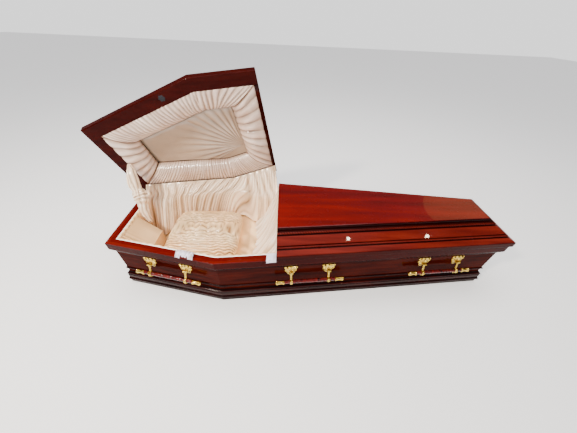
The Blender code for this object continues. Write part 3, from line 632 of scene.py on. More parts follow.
def mark_sharp(mesh, fine):
    """Sharp edges at the mitres and at the section's corners."""
    before = fine[:, :2] - np.roll(fine[:, :2], 1, 0)
    after = np.roll(fine[:, :2], -1, 0) - fine[:, :2]
    turn = np.abs(np.degrees(np.arctan2(
        before[:, 0] * after[:, 1] - before[:, 1] * after[:, 0], (before * after).sum(1))))
    corner = turn > 32
    count = len(fine)
    layer = mesh.attributes.new("sharp_edge", "BOOLEAN", "EDGE")
    flags = np.zeros(len(mesh.edges), bool)
    for i, edge in enumerate(mesh.edges):
        a, b = edge.vertices
        flags[i] = a // count == b // count or (a % count == b % count and corner[a % count])
    layer.data.foreach_set("value", flags)


# Third value: staining and painted shade, full brightness unless given lower
def plain(points, stain_and_painted_shade=1.0):
    return [(inset, level, stain_and_painted_shade) for inset, level in points]


def rope_ring(name, stations, closed, inset, level, radius, body, material, replaces,
              matrix=None, proud=None):
    """Half round bead carved as a twisted rope, its flat back against the work."""
    proud = proud or radius
    angles = np.radians(np.linspace(-90, 90, 9))
    edge = np.cos(angles)
    rows, stain_and_painted_shades = [], []
    spans = len(stations) if closed else len(stations) - 1
    travelled = 0.0
    for k in range(spans):
        start, end = stations[k], stations[(k + 1) % len(stations)]
        length = float(np.linalg.norm(start.at(inset) - end.at(inset)))
        steps = max(2, int(length / (ROPE_PITCH / ROPE_STEPS_A_STRAND)))
        last = k == spans - 1 and not closed
        for i in range(steps + (1 if last else 0)):
            share = i / steps
            place = travelled + length * share
            strand = np.abs(np.sin(np.pi * (place / ROPE_PITCH + 0.29 * angles)))
            swell = 1 - 0.30 * (1 - strand ** 0.6) * edge
            own = inset - proud * edge * swell
            up = radius * np.sin(angles) * (1 - 0.08 * (1 - strand))
            flat = start.at(own) * (1 - share) + end.at(own) * share
            rows.append(np.column_stack([flat, level + up]))
            # Painted shade in the rope's twists, full brightness on each strand's crown
            stain_and_painted_shades.append(0.03 + 0.97 * strand ** 1.5)
        travelled += length
    wood_piece(name, rows, stain_and_painted_shades, closed, body, material, replaces, matrix)


def rim_section():
    back = WALL_INSET - GAP
    fascia_foot = RIM_TOP - 0.039
    # The third values paint shade under the rim: full on its top, less on the nose, dark on the
    # fascia and the ogee below
    section = plain([(back, RIM_TOP), (RIM_INSET + 0.0016, RIM_TOP)])
    section += plain(arc((RIM_INSET + 0.0016, RIM_TOP - 0.0016), 0.0016, 90, 180, 4), 0.7)
    section += plain([(RIM_INSET, RIM_TOP - 0.004)], 0.20)
    curve = ogee((RIM_INSET, fascia_foot), (back, fascia_foot - 0.034), 14)
    section += [(i, z, 0.20 - 0.10 * n / 14) for n, (i, z) in enumerate(curve)]
    return section


def plinth_section():
    back = WALL_INSET - GAP
    nose = arc((0.010 + 0.006, 0.071), 0.0062, 250, 90, 12)
    # The third values paint shade on the underside, in the quirks on either side of the nose and on
    # the cove back to the wall
    section = [(back, 0.0, 0.5), (0.011, 0.0, 0.5), (0.010, 0.001, 0.7), (0.010, 0.020, 0.7),
               (0.0106, 0.040, 0.6), (0.010, 0.043, 1.0), (0.010, 0.0620, 0.9),
               (0.0118, 0.0636, 0.05)]
    section += [(i, z, 0.2 if n == 0 else 1.0) for n, (i, z) in enumerate(nose)]
    section += [(0.0200, 0.0774, 0.12)]
    section += [(i, z, 0.2) for i, z in ogee((0.0208, 0.0785), (back, 0.084), 5)]
    return section


def frame_section():
    """Lid edge: rounded nose, first slope and the groove at its top; shade painted dark on its
    underside and in the groove.
    """
    under = LID_UNDER
    nose_top = RIM_TOP + 0.033
    lower = arc((0.0045, under + 0.0045), 0.0045, 270, 180, 6)
    upper = arc((0.0045, nose_top - 0.0045), 0.0045, 180, 112, 6)
    section = [(FRAME_WIDTH, under, 0.20)]
    section += [(i, z, 0.18) for i, z in lower]
    section += plain([(0.0, under + 0.010)], 0.18)
    section += [(i, z, 0.20 if n < 4 else 0.7) for n, (i, z) in enumerate(upper)]
    section += [(0.0060, nose_top + 0.0012, 1.0)]
    section += [(0.0270, 0.3590, 1.0), (0.0285, 0.3582, 0.05), (0.0306, 0.3586, 0.02),
                (0.0330, 0.3596, 0.1), (FRAME_WIDTH, 0.3598, 0.3)]
    return section


def riser_section():
    """Step bead, second slope and the shelf for the rope and the top board."""
    base = 0.360 + GAP
    bead = arc((0.0375, base + 0.0040), 0.0042, 235, 60, 12)
    # The third values paint shade at the foot of the step bead, in the quirk above it, in the groove
    # at the top of the slope and on the shelf
    section = [(0.0640, base, 1.0), (0.0360, base, 0.05)]
    section += [(i, max(z, base), 0.1 if n < 4 else 0.8) for n, (i, z) in enumerate(bead)]
    section += [(0.0418, 0.3672, 0.02), (0.0436, 0.3692, 0.03), (0.0462, 0.3716, 1.0)]
    section += [(0.0818, 0.3947, 1.0), (0.0836, 0.3954, 0.05), (0.0868, 0.3968, 0.02),
                (0.1200, 0.3968, 0.3), (0.1200, 0.3850, 1.0), (0.0860, 0.3850, 1.0)]
    return section


def top_rail_section():
    """Shelf behind the rope bead, darkened with painted shade under the rope and where it meets the
    top board.
    """
    base = 0.397 + GAP
    return [(0.1205, base, 0.3), (0.0962, base, 0.03), (0.0962, 0.4086, 0.03),
            (0.0985, 0.4096, 0.12), (0.1020, 0.4098, 0.02), (0.1205, 0.4098, 0.03)]


def make_lid_woods(prefix, path, body, matrix=None):
    moulding(f"{prefix}_edge", path, frame_section(), False, body, WOOD_LID,
             [f"{prefix}_frame"], matrix)
    moulding(f"{prefix}_slope", path, riser_section(), False, body, WOOD_LID,
             [f"{prefix}_riser"], matrix)
    moulding(f"{prefix}_rope_shelf", path, top_rail_section(), False, body, WOOD_LID,
             [f"{prefix}_rope_moulding"], matrix)
    rope_ring(f"{prefix}_rope", path, False, 0.0960, 0.4028, 0.0054, body, WOOD_LID,
              [f"{prefix}_rope_moulding"], matrix, proud=0.0088)
    make_top_board(f"{prefix}_top", path, body, matrix, f"{prefix}_top_board")


def make_top_board(name, path, body, matrix, node):
    """Flat board with a quarter round edge and a fine quirk under it."""
    base = TOP_LEVEL + GAP
    # The third values paint shade in the quirk and on the lower half of the rounded edge, lighter
    # towards the top
    edge = [(TOP_INSET + 0.0008, base, 0.03), (TOP_INSET + 0.0004, base + 0.0016, 0.2)]
    curve = arc((TOP_INSET + 0.009, TOP_SURFACE - 0.009), 0.009, 180, 90, 10)
    edge += [(i, z, 0.04 if n < 6 else 0.1 + 0.22 * (n - 6)) for n, (i, z) in enumerate(curve)]
    edge += plain([(TOP_INSET + 0.012, TOP_SURFACE)])
    rows = [[(*station.at(inset), level) for station in path] for inset, level, _ in edge]
    stain_and_painted_shades = np.repeat([e[2] for e in edge], len(path))
    wood_piece(name, rows, stain_and_painted_shades, False, body, WOOD_TOP, [node], matrix, 30)


def bevel_node(name, width, material):
    """Keep a frame node, with its arrises eased and its own finish."""
    node = frame["nodes"][name]
    ease = node.modifiers.new("ease", "BEVEL")
    ease.width = width
    ease.segments = 2
    ease.limit_method = "ANGLE"
    ease.angle_limit = math.radians(30)
    ease.harden_normals = True
    finish_node(name, material)


def finish_node(name, material):
    node = frame["nodes"][name]
    if not node.data.materials:
        node.data.materials.append(material)
    for slot in node.material_slots:
        slot.material = material


def make_catch():
    """Small dark plate let into the underside of the lid's near rail."""
    rows = []
    for radius, depth in ((0.0, CATCH_PROUD), (0.009, CATCH_PROUD),
                          (0.0125, CATCH_EDGE_PROUD), (0.0135, 0.0)):
        angles = np.linspace(0, 2 * np.pi, 48, endpoint=False)
        reach = radius * (1 + 0.12 * np.cos(angles * 6))
        rows.append(np.column_stack([CATCH_PLACE[0] + reach * np.cos(angles),
                                     CATCH_PLACE[1] + reach * np.sin(angles),
                                     np.full(48, LID_UNDER - depth)]))
    mesh = grid_mesh("lid_catch", rows, close_columns=True)
    add_piece("lid_catch", mesh, HEAD_LID, DARK_METAL, (), OPENED)


def make_woods():
    ring = body_ring()
    for name in ("side_board_near", "side_board_far", "end_board_head", "end_board_foot"):
        finish_node(name, WOOD_WALL)
    finish_node("floor_board", WOOD_WALL)
    moulding("rim_band", ring, rim_section(), True, COFFIN, WOOD_RIM, ["rim_moulding"])
    moulding("plinth_band", ring, plinth_section(), True, COFFIN, WOOD_PLINTH, ["plinth_moulding"])
    rope_ring("wall_rope", ring, True, WALL_INSET - GAP, 0.1135, 0.0065, COFFIN, WOOD_PLINTH,
              ["wall_bead"])
    rope_ring("plinth_rope", ring, True, 0.010 - GAP, 0.030, 0.0085, COFFIN, WOOD_PLINTH,
              ["plinth_bead"], proud=0.006)
    make_lid_woods("foot_lid", foot_lid_path(), COFFIN)
    make_lid_woods("head_lid", head_lid_path(), HEAD_LID, OPENED)
    for prefix in ("foot_lid", "head_lid"):
        bevel_node(f"{prefix}_cut_rail", 0.0008, WOOD_RAIL)
    make_catch()


# Satin

def cloth_piece(name, points, body, slot, material, replaces=(), fold_and_painted_shade=None, matrix=None,
                thickness=0.0012, **closing):
    """Cloth over a grid of points; its values paint shade into the creases and highlight onto the
    crests.
    """
    mesh = grid_mesh(name, points, **closing)
    values = np.ones(points.shape[:2]) if fold_and_painted_shade is None else np.clip(fold_and_painted_shade, 0, 1)
    set_attribute(mesh, "fold_and_painted_shade", values)
    obj = add_piece(name, mesh, None, material, replaces, matrix)
    if thickness:
        thicken(obj, thickness)
    if body:
        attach(obj, body)
    return obj


def make_lid_border():
    """Puffed border under the lid: ruched along the long sides, broad folds at the ends."""
    stations = border_ring()
    across = 28
    share = np.linspace(0, 1, across)
    inset = FRAME_WIDTH + GAP + (BORDER_INNER - FRAME_WIDTH - GAP) * share
    swell = np.interp(share, [0, 0.04, 0.12, 0.30, 0.50, 0.68, 0.84, 0.95, 1],
                      [0.3190, 0.3175, 0.3163, 0.3155, 0.3178, 0.3240, 0.3385, 0.3580, 0.3703])
    fade = 0.30 + 0.70 * np.sin(np.pi * np.clip(share, 0.0, 1.0)) ** 0.7
    rows, folds = [], []
    for k, (ruched, wavelength, height, seams) in enumerate(BORDER_SIDES):
        start, end = stations[k], stations[(k + 1) % 6]
        starts, ends = start.at(inset), end.at(inset)
        length = float(np.linalg.norm(ends[0] - starts[0]))
        steps = int(length / 0.0032)
        for i in range(steps):
            u = i / steps
            place = np.full(across, length * u)
            bump = gathers(place, share, 20 + (2 if k == 3 else k), wavelength,
                           slant=0.5 if ruched else 0.08, drift=0.55 if ruched else 0.22)
            crease = 0.0
            if seams[0]:
                crease += math.exp(-(u * length / SEAM_WIDTH) ** 2)
            if seams[1]:
                crease += math.exp(-((1 - u) * length / SEAM_WIDTH) ** 2)
            level = swell - bump * height * fade + crease * 0.009 * np.sin(np.pi * share)
            rows.append(np.column_stack([starts * (1 - u) + ends * u, level]))
            # Painted highlight on the ridges, painted shade in the creases, at the seams and towards
            # the inner edge where the border meets the panel
            folds.append(0.50 + 0.48 * bump - 0.9 * crease
                         - 0.3 * smooth_step((share - 0.93) / 0.07))
    obj = cloth_piece("lid_border_satin", np.array(rows), HEAD_LID, "satin_lid", SATIN_LID,
                      ["lid_border"], np.array(folds), OPENED, thickness=0.0015, close_rows=True)


def ray_to_edge(origin, direction, polygon):
    """Distance from a point to a polygon's edge along a direction."""
    best = 10.0
    for a, b in zip(polygon, polygon[1:] + polygon[:1]):
        side = b - a
        cross = direction[0] * side[1] - direction[1] * side[0]
        if abs(cross) < 1e-9:
            continue
        offset = a - origin
        distance = (offset[0] * side[1] - offset[1] * side[0]) / cross
        share = (offset[0] * direction[1] - offset[1] * direction[0]) / cross
        if distance > 1e-6 and -1e-6 <= share <= 1 + 1e-6:
            best = min(best, distance)
    return best


def make_lid_panel():
    """Panel whose pleats fan out from a point at the cut side and die away to smooth cloth."""
    polygon = [station.at(BORDER_INNER + 0.001) for station in border_ring()]
    origin = np.array((polygon[4][0] - 0.004, 0.088))
    rays, rings = 600, 30
    share = np.linspace(0.01, 1, rings)
    rows, folds = [], []
    for i in range(rays):
        angle = 2 * math.pi * i / rays
        direction = np.array((math.cos(angle), math.sin(angle)))
        radius = ray_to_edge(origin, direction, polygon) * share
        turn = math.degrees(angle)
        fan = float(smooth_step((turn - 150) / 22) * smooth_step((272 - turn) / 6))
        wander = value_noise(np.full(rings, angle * 6), share * 1.4, 71) * 0.35
        phase = math.radians(turn) * 19.5 + wander
        pleat = np.abs(np.sin(phase)) ** 0.7
        grow = np.minimum(radius / 0.11, 1) * smooth_step((0.40 - radius) / 0.26)
        height = (0.0008 + 0.0075 * fan * grow) * (0.8 + 0.2 * value_noise(
            np.full(rings, angle * 9), share * 2, 72))
        slack = value_noise(origin[0] * 8 + direction[0] * radius * 9,
                            direction[1] * radius * 9, 73)
        level = 0.3705 - pleat * height - slack * 0.0012
        level = level + 0.004 * smooth_step((share - 0.94) / 0.06)
        rows.append(np.column_stack([origin[0] + direction[0] * radius,
                                     origin[1] + direction[1] * radius, level]))
        # Painted shade in the pleats' hollows, lighter on their crests where they fan out
        folds.append(0.60 - (0.60 - pleat) * fan * grow * 0.75)
    cloth_piece("lid_sunburst_satin", np.array(rows), HEAD_LID, "satin_lid", SATIN_PANEL,
                ["lid_centre_panel"], np.array(folds), OPENED, thickness=0.001, close_rows=True)


def far_side_points(xs, inset, level, sweep=0.0):
    return np.column_stack([xs, half_width(xs, inset) - sweep, np.full(len(xs), level)])


def make_hinge_drape():
    """Gathered cloth from the open lid over the rim and down the far wall to the bedding."""
    xs = np.linspace(HEAD_X + 0.048, CUT_X - 0.0045, DRAPE_COLUMNS)
    shut = far_side_points(xs, 0.0588, 0.3140)
    lid_edge = np.array([tuple(OPENED @ Vector(p)) for p in shut])
    sweep = np.interp(xs, [-0.96, -0.93, -0.88, -0.845, -0.815, -0.79, -0.42, -0.36, -0.20],
                      [0.080, 0.100, 0.130, 0.090, 0.020, 0.0, 0.0, 0.050, 0.085])
    over = far_side_points(xs, WALL_INNER + 0.004, RIM_TOP + 0.006)
    inside = far_side_points(xs, 0.062, RIM_TOP - 0.018, sweep * 0.30)
    middle = far_side_points(xs, 0.066, 0.222, sweep * 0.62)
    foot = far_side_points(xs, 0.072, 0.123, sweep)
    half_way = lid_edge * 0.55 + over * 0.45
    points = spline_rows([lid_edge, half_way, over, inside, middle, foot], 16)
    rows = len(points)
    down = np.linspace(0, 1, rows)[:, None] * np.ones((1, DRAPE_COLUMNS))
    place = (xs - xs[0])[None, :] * np.ones((rows, 1))
    lean = (smooth_step((xs + 0.93) / 0.22) * (1 - 0.9 * smooth_step((xs + 0.50) / 0.2)))[None, :]
    broad = gathers(place + 0.14 * lean * down, down, 40, 0.050, drift=0.9)
    narrow = gathers(place + 0.16 * lean * down, down, 47, 0.018, drift=0.7)
    bump = 0.62 * broad + 0.50 * narrow * smooth_step((down - 0.02) / 0.1)
    fade = 0.30 + 0.70 * smooth_step(down / 0.15)
    out = np.array((0.08, -0.97, 0.24))
    points = points + (bump * 0.0125 * fade)[:, :, None] * out + 0.006 * out
    points[:, :, 2] = np.maximum(points[:, :, 2], MATTRESS_TOP + 0.001)
    # The bump values paint highlight on the crests and shade in the hollows
    obj = cloth_piece("hinge_drape_satin", points, None, "satin_drape", SATIN_DRAPE,
                      ["hinge_drape"], 0.50 + 0.62 * bump, thickness=0.0010)
    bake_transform(obj)


def make_body_lining():
    """Cream satin gathered down the inside of the walls."""
    levels = spline_curve([(0.0450, 0.3140), (0.0475, 0.3148), (0.0520, 0.3125), (0.0530, 0.300),
                           (0.0520, 0.20), (0.0540, 0.10), (0.0520, 0.022)], 5)
    depth = np.linspace(0, 1, len(levels))
    rows, folds = [], []
    for k in range(6):
        start, end = corner_station(k), corner_station((k + 1) % 6)
        length = float(np.linalg.norm(end.at(0.05) - start.at(0.05)))
        steps = int(length / 0.0085)
        for i in range(steps):
            u = i / steps
            bump = gathers(np.full(len(levels), length * u), depth, 60 + k, 0.034, slant=0.1)
            inset = levels[:, 0] + (0.0034 + bump * 0.0030) * smooth_step(depth / 0.15)
            flat = start.at(inset) * (1 - u) + end.at(inset) * u
            rows.append(np.column_stack([flat, levels[:, 1]]))
            # Painted highlight on the crests and painted shade in the hollows of the gathers
            folds.append(0.6 + 0.4 * bump)
    cloth_piece("wall_lining_satin", np.array(rows), COFFIN, "satin_lining", SATIN_BED,
                ["body_lining"], np.array(folds), thickness=0.0010, close_rows=True)


def make_lining_cord():
    """Cream cord round the top edge of the lining."""
    angles = np.linspace(0, 2 * np.pi, 12, endpoint=False)
    rows = []
    for station in body_ring():
        flat = station.at(0.0480 + 0.0038 * np.cos(angles))
        rows.append(np.column_stack([flat, 0.3124 + 0.0034 * np.sin(angles)]))
    mesh = grid_mesh("lining_cord", rows, close_rows=True, close_columns=True)
    face_outwards(mesh)
    set_attribute(mesh, "fold_and_painted_shade", np.ones(len(mesh.vertices)))
    add_piece("lining_cord", mesh, COFFIN, SATIN_CORD)


def make_mattress():
    """Soft bed over the whole floor, crowned and creased."""
    inset = 0.0580
    xs = np.linspace(HEAD_X + inset, FOOT_X - inset, 230)
    side_steps = 8
    share = np.concatenate([np.full(side_steps, -1.0), np.linspace(-1, 1, 84),
                            np.full(side_steps, 1.0)])
    climb = 0.098 - FLOOR_TOP
    half = half_width(xs, inset)[:, None]
    end = np.minimum(xs - xs[0], xs[-1] - xs)[:, None]
    edge = (1 - np.abs(share))[None, :] * half
    level = MATTRESS_TOP - 0.022 * (1 - np.minimum(edge / 0.05, 1)) ** 2
    level = level - 0.020 * (1 - np.minimum(end / 0.05, 1)) ** 2
    level[:, :side_steps] = FLOOR_TOP + climb * np.arange(side_steps) / side_steps
    level[:, -side_steps:] = 0.098 - climb * (np.arange(side_steps) + 1) / side_steps
    points = np.stack([xs[:, None] * np.ones_like(level), half * share[None, :], level], -1)
    x, y, z = split_axes(points)
    crease = value_noise(x * 9, y * 14, 81)
    crease = crease + 0.5 * value_noise(x * 30, y * 30, 82)
    fan = gathers(np.arctan2(y + 0.27, -0.17 - x) * 0.2, x * 5, 83, 0.034)
    near_cut = smooth_step((x + 0.46) / 0.12) * smooth_step((-0.15 - x) / 0.1)
    z += (crease * 0.0025 + fan * near_cut * 0.0035) * (z > 0.099)
    # Painted shade and highlight following the creases and the fan of folds
    obj = cloth_piece("mattress_satin", points, COFFIN, "satin_bedding", SATIN_BED, ["mattress"],
                      0.60 + 0.25 * crease + 0.30 * fan * near_cut, thickness=0)


def make_wedge():
    """Padded slope between the head end and the pillow, from the near wall to the stay."""
    back = HEAD_X + 0.0509
    near = -float(half_width(back, 0.071))
    far = 0.0
    profile = spline_curve([(back, 0.1215), (back, 0.30), (back + 0.006, 0.3045),
                            (back + 0.030, 0.284), (back + 0.104, 0.209), (back + 0.111, 0.196),
                            (back + 0.111, 0.1215)], 12)
    centre = np.array((back + 0.045, 0.19))
    rows = []
    for share in np.linspace(-1, 1, 110):
        puff = 0.972 + 0.028 * (1 - share ** 8)
        place = centre + (profile - centre) * puff
        y = near + (far - near) * (share + 1) / 2
        rows.append(np.column_stack([np.maximum(place[:, 0], back), np.full(len(profile), y),
                                     np.maximum(place[:, 1], 0.1212)]))
    points = np.array(rows)
    _, y, z = split_axes(points)
    pull = value_noise(y * 18, z * 9, 91)
    near_edge = np.exp(-((y - near) / 0.03) ** 2)
    fold_and_painted_shade = pull + 1.2 * near_edge * np.sin((y - near) * 260)
    z += fold_and_painted_shade * 0.0036 * smooth_step((z - 0.15) / 0.05)
    z[:] = np.minimum(z, RIM_TOP - 0.002)
    # The crease values also paint shade and highlight on the wedge
    obj = cloth_piece("head_wedge_satin", points, COFFIN, "satin_lining", SATIN_BED, ["head_wedge"],
                      0.55 + 0.20 * fold_and_painted_shade, thickness=0, close_columns=True, caps=True)


def make_pillow():
    """Plump pillow, smocked in wavy rows over its whole top."""
    low, high = (Vector(c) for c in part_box("pillow"))
    centre = (low + high) / 2
    size = (high - low) / 2
    rings_under, rings_above, around = 50, 150, 240
    under = -np.arccos((1 - np.linspace(1, 0, rings_under) ** 3) ** 2)
    above = np.arccos((1 - np.linspace(0, 1, rings_above) ** 3) ** 2)
    u = np.concatenate([under, above[1:]])[:, None]
    v = np.linspace(-np.pi, np.pi, around, endpoint=False)[None, :]

    def power(value, exponent):
        return np.sign(value) * np.abs(value) ** exponent

    x = power(np.cos(u), 0.50) * power(np.cos(v), 0.34)
    y = power(np.cos(u), 0.50) * power(np.sin(v), 0.34)
    z = power(np.sin(u), 0.72) * np.ones_like(v)
    points = np.stack([x * size.x * 0.99, y * size.y * 0.985, z * size.z * 0.93], -1)
    px, py, pz = split_axes(points)
    slump = smooth_step((y - 0.2) / 0.8) * 0.012
    pz -= slump * smooth_step((z + 0.2) / 0.8)
    wave = 0.0035 * np.sin(px * 2 * np.pi / 0.062 + 40 * py)
    wave = wave + 0.0062 * value_noise(px * 34, py * 26, 101)
    over = 0.5 * pz * np.tanh(py / 0.05)
    rows_phase = (py - over + wave) / SMOCK_PITCH
    ridge = np.abs(np.sin(np.pi * rows_phase)) ** 0.6
    puckers = np.abs(np.sin(np.pi * (px / 0.031 + 0.5 * np.floor(rows_phase)
                                     + 0.3 * value_noise(rows_phase, px * 20, 103))))
    broken = 0.82 + 0.18 * value_noise(px * 42, rows_phase * 0.9, 105)
    puff = ridge * (0.70 + 0.30 * puckers ** 0.5) * broken
    top = smooth_step((z + 0.35) / 0.5)
    normal = points / np.array((size.x, size.y, size.z)) ** 2
    normal = normal / np.linalg.norm(normal, axis=-1, keepdims=True)
    points += normal * ((puff - 0.72) * 0.0140 * top)[:, :, None]
    pz[:] = np.maximum(pz, -size.z + 0.001)
    points += np.array(centre)
    # Painted shade between the smocked rows on the top, lighter on their puffs
    obj = cloth_piece("pillow_satin", points, COFFIN, "satin_pillow", SATIN_PILLOW, ["pillow"],
                      0.85 - (0.85 - puff) * top * 1.15, thickness=0, close_columns=True)


def make_sleeve():
    """Gathered sleeve over the stay, bunched in a knot halfway down."""
    x = HEAD_X + FRAME_WIDTH + 0.020
    top = np.array(OPENED @ Vector((x - 0.012, 0.004, 0.3100)))
    path = [top, (-0.978, 0.128, 0.500), (-0.976, 0.107, 0.448), (-0.962, 0.090, 0.404),
            (-0.952, 0.076, 0.370), (-0.950, 0.056, 0.318), (-0.946, 0.042, 0.270),
            (-0.940, 0.036, 0.232)]
    line = spline_curve(path, 22)
    count = len(line)
    share = np.linspace(0, 1, count)
    widths = np.interp(share, [0, 0.10, 0.20, 0.32, 0.39, 0.45, 0.57, 0.64, 0.74, 0.9, 1.0],
                       [0.010, 0.023, 0.029, 0.033, 0.026, 0.041, 0.043, 0.028, 0.027, 0.025, 0.019])
    around = 80
    angles = np.linspace(0, 2 * np.pi, around, endpoint=False)
    rows, folds = [], []
    for i in range(count):
        direction = line[min(i + 1, count - 1)] - line[max(i - 1, 0)]
        direction = direction / np.linalg.norm(direction)
        first = np.array((1.0, 0.0, 0.0)) - direction * direction[0]
        first = first / np.linalg.norm(first)
        second = np.cross(direction, first)
        twist = 1.6 * math.sin(share[i] * 7) + value_noise(
            np.full(around, share[i] * 9), np.cos(angles) * 1.5 + 3, 111) * 1.4
        lobes = 2 * np.abs(np.sin(angles * 3.5 + twist)) ** 0.7 - 1
        knot = math.exp(-((share[i] - SLEEVE_KNOT_SHARE) / 0.085) ** 2)
        bunch = knot * np.sin(share[i] * 95 + 2.0 * np.sin(angles + 0.6))
        crumple = value_noise(np.full(around, share[i] * 22), np.sin(angles) * 2 + 5, 113)
        radius = widths[i] * (0.86 + 0.12 * lobes + 0.08 * bunch + 0.10 * crumple)
        rows.append(line[i] + radius[:, None] * (np.cos(angles)[:, None] * first
                                                 + 0.85 * np.sin(angles)[:, None] * second))
        # Painted shade and highlight following the lobes and the bunched knot
        folds.append(0.62 + 0.35 * lobes * (1 - 0.6 * knot) + 0.35 * bunch)
    obj = cloth_piece("stay_sleeve_satin", np.array(rows), None, "satin_drape", SATIN_DRAPE,
                      ["lid_stay_sleeve"], np.array(folds), thickness=0, close_columns=True,
                      caps=True)
    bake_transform(obj)


APRON_FACE_X = CUT_X + LID_SPLIT / 2 - 0.0016


def make_apron():
    """Thin cloth pinned along the foot lid's cut end that falls to the bedding."""
    profile = [(0.0455, 0.3195), (0.0455, 0.335), (0.046, 0.368), (0.0885, 0.395),
               (0.1145, 0.4135)]
    inset = np.array([p[0] for p in profile])
    level = np.array([p[1] for p in profile])
    near_y = -half_width(APRON_FACE_X, inset)
    near = np.column_stack([np.full(len(inset), APRON_FACE_X), near_y, level])
    far = near[::-1] * np.array((1, -1, 1))
    pinned = np.concatenate([near, far])
    lengths = np.concatenate([[0], np.cumsum(np.linalg.norm(np.diff(pinned, axis=0), axis=1))])
    columns = 210
    where = np.linspace(0, lengths[-1], columns)
    top = np.column_stack([np.interp(where, lengths, pinned[:, i]) for i in range(3)])
    side = np.linspace(-1, 1, columns)
    foot_x = -0.318 + 0.012 * np.cos(side * 5) + 0.045 * np.abs(side) ** 6
    foot = np.column_stack([foot_x, side * half_width(foot_x, 0.068),
                            np.full(columns, MATTRESS_TOP + 0.0065)])
    count = 80
    share = np.linspace(0, 1, count)[:, None, None]
    along = 0.30 * share + 0.70 * share ** 1.9
    fall = 1 - (1 - share) ** 1.25
    points = np.concatenate([
        top[None, :, 0:1] + (foot[None, :, 0:1] - top[None, :, 0:1]) * along,
        top[None, :, 1:2] + (foot[None, :, 1:2] - top[None, :, 1:2]) * share ** 0.6,
        top[None, :, 2:3] + (foot[None, :, 2:3] - top[None, :, 2:3]) * fall], -1)
    down = share[:, :, 0] * np.ones((1, columns))
    place = side[None, :] * 0.24 * np.ones((count, 1))
    bump = 0.75 * gathers(place, down, 121, 0.062, slant=1.3, drift=0.9)
    bump = bump + 0.35 * gathers(place, down, 125, 0.023, slant=0.8)
    fade = smooth_step((down - 0.05) / 0.35)
    x, y, z = split_axes(points)
    x -= (bump + 0.6) * 0.0115 * fade
    z += bump * 0.004 * fade
    room = half_width(x, 0.0535)
    y[:] = np.where(z < RIM_TOP + 0.002, np.clip(y, -room, room), y)
    z[:] = np.maximum(z, MATTRESS_TOP + 0.004)
    x[:] = np.minimum(x, APRON_FACE_X)
    # The bump values paint highlight on the crests and shade in the hollows
    obj = cloth_piece("foot_apron_satin", points, COFFIN, "satin_drape", SATIN_APRON,
                      ["foot_apron"], 0.58 + 0.50 * bump, thickness=0.0008)
    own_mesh(obj)


def make_tab():
    """End of the apron laid over the near rim beside the cut, with painted shade in a band along its
    hemline.
    """
    columns = 60
    xs = np.linspace(CUT_X - 0.046, APRON_FACE_X, columns)
    lift = 0.0024
    rows = []
    for inset, level in [(0.0555, 0.265), (0.0535, 0.306), (0.0480, RIM_TOP + lift),
                         (0.030, RIM_TOP + lift), (0.010, RIM_TOP + lift),
                         (RIM_INSET - lift, RIM_TOP - 0.002), (RIM_INSET - lift, RIM_TOP - 0.014)]:
        rows.append(np.column_stack([xs, -half_width(xs, inset), np.full(columns, level)]))
    points = spline_rows(rows, 10)
    count = len(points)
    down = np.linspace(0, 1, count)[:, None] * np.ones((1, columns))
    x, y, z = split_axes(points)
    ripple = value_noise(x * 90, down * 4, 131)
    step = smooth_step((x - (CUT_X - 0.034)) / 0.003)
    z += np.abs(ripple) * 0.0016 + step * 0.0012
    y -= np.abs(ripple) * 0.0006
    # Painted shade in a band along the hemline; ripples paint lighter and darker patches
    painted_hem_shade = np.exp(-((down - 0.93) / 0.02) ** 2)
    obj = cloth_piece("apron_tab_satin", points, COFFIN, "satin_drape", SATIN_WHITE,
                      (), 0.9 + 0.3 * ripple - 0.5 * painted_hem_shade, thickness=0.0008)
    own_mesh(obj)


def make_ribbon():
    """Ribbon bow with two loops and a crumpled middle, folded over the near rim."""
    parts = [("a", -0.020, -0.4, 0.015, 0.043), ("b", 0.019, 0.4, 0.016, 0.042),
             ("c", -0.001, 0.0, 0.014, 0.038)]
    for number, (mark, shift, lean, width, reach) in enumerate(parts):
        columns = 34
        spread = np.linspace(-1, 1, columns)
        rows = []
        for share in np.linspace(0, 1, 10):
            inset = 0.0475 - reach * share
            over = max(0.0, RIM_INSET - inset)
            level = RIM_TOP + 0.003 + 0.009 * math.sin(math.pi * share) ** 0.8 - over * 1.6
            own = width * (0.72 + 0.38 * math.sin(math.pi * min(share * 0.9 + 0.15, 1)))
            xs = RIBBON_X + shift + lean * 0.030 * share + own * spread
            curl = 0.0035 * (1 - spread ** 2) + 0.0016 * np.cos(spread * 7 + share * 5)
            rows.append(np.column_stack([xs, -half_width(xs, inset), level + curl]))
        points = spline_rows(rows, 5)
        x, y, z = split_axes(points)
        bump = value_noise(x * 110, y * 90, 140 + number)
        z += np.abs(bump) * 0.0026
        # Painted shade and highlight following the crumples
        obj = cloth_piece(f"ribbon_{mark}", points, COFFIN, "satin_drape", SATIN_WHITE,
                          (), 0.85 + 0.4 * bump, thickness=0.0010)
        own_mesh(obj)


def make_satins():
    make_lid_border()
    make_lid_panel()
    make_hinge_drape()
    make_body_lining()
    make_lining_cord()
    make_mattress()
    make_wedge()
    make_pillow()
    make_sleeve()
    make_apron()
    make_tab()
    make_ribbon()


# Handles

def turned(profile, around=24, centre=(0, 0, 0), axis="X", flatten=1.0, twist=None):
    """Closed turned shape: profile of (place, radius) along an axis."""
    angles = np.linspace(0, 2 * np.pi, around, endpoint=False)
    rows = []
    for place, radius in profile:
        own = radius * (np.ones(around) if twist is None else twist(place, angles))
        first, second = own * np.cos(angles) * flatten, own * np.sin(angles)
        along = np.full(around, place)
        columns = (along, first, second) if axis == "X" else (second, first, along)
        rows.append(np.column_stack(columns) + np.array(centre))
    return grid_mesh("turned", rows, close_columns=True, caps=True)


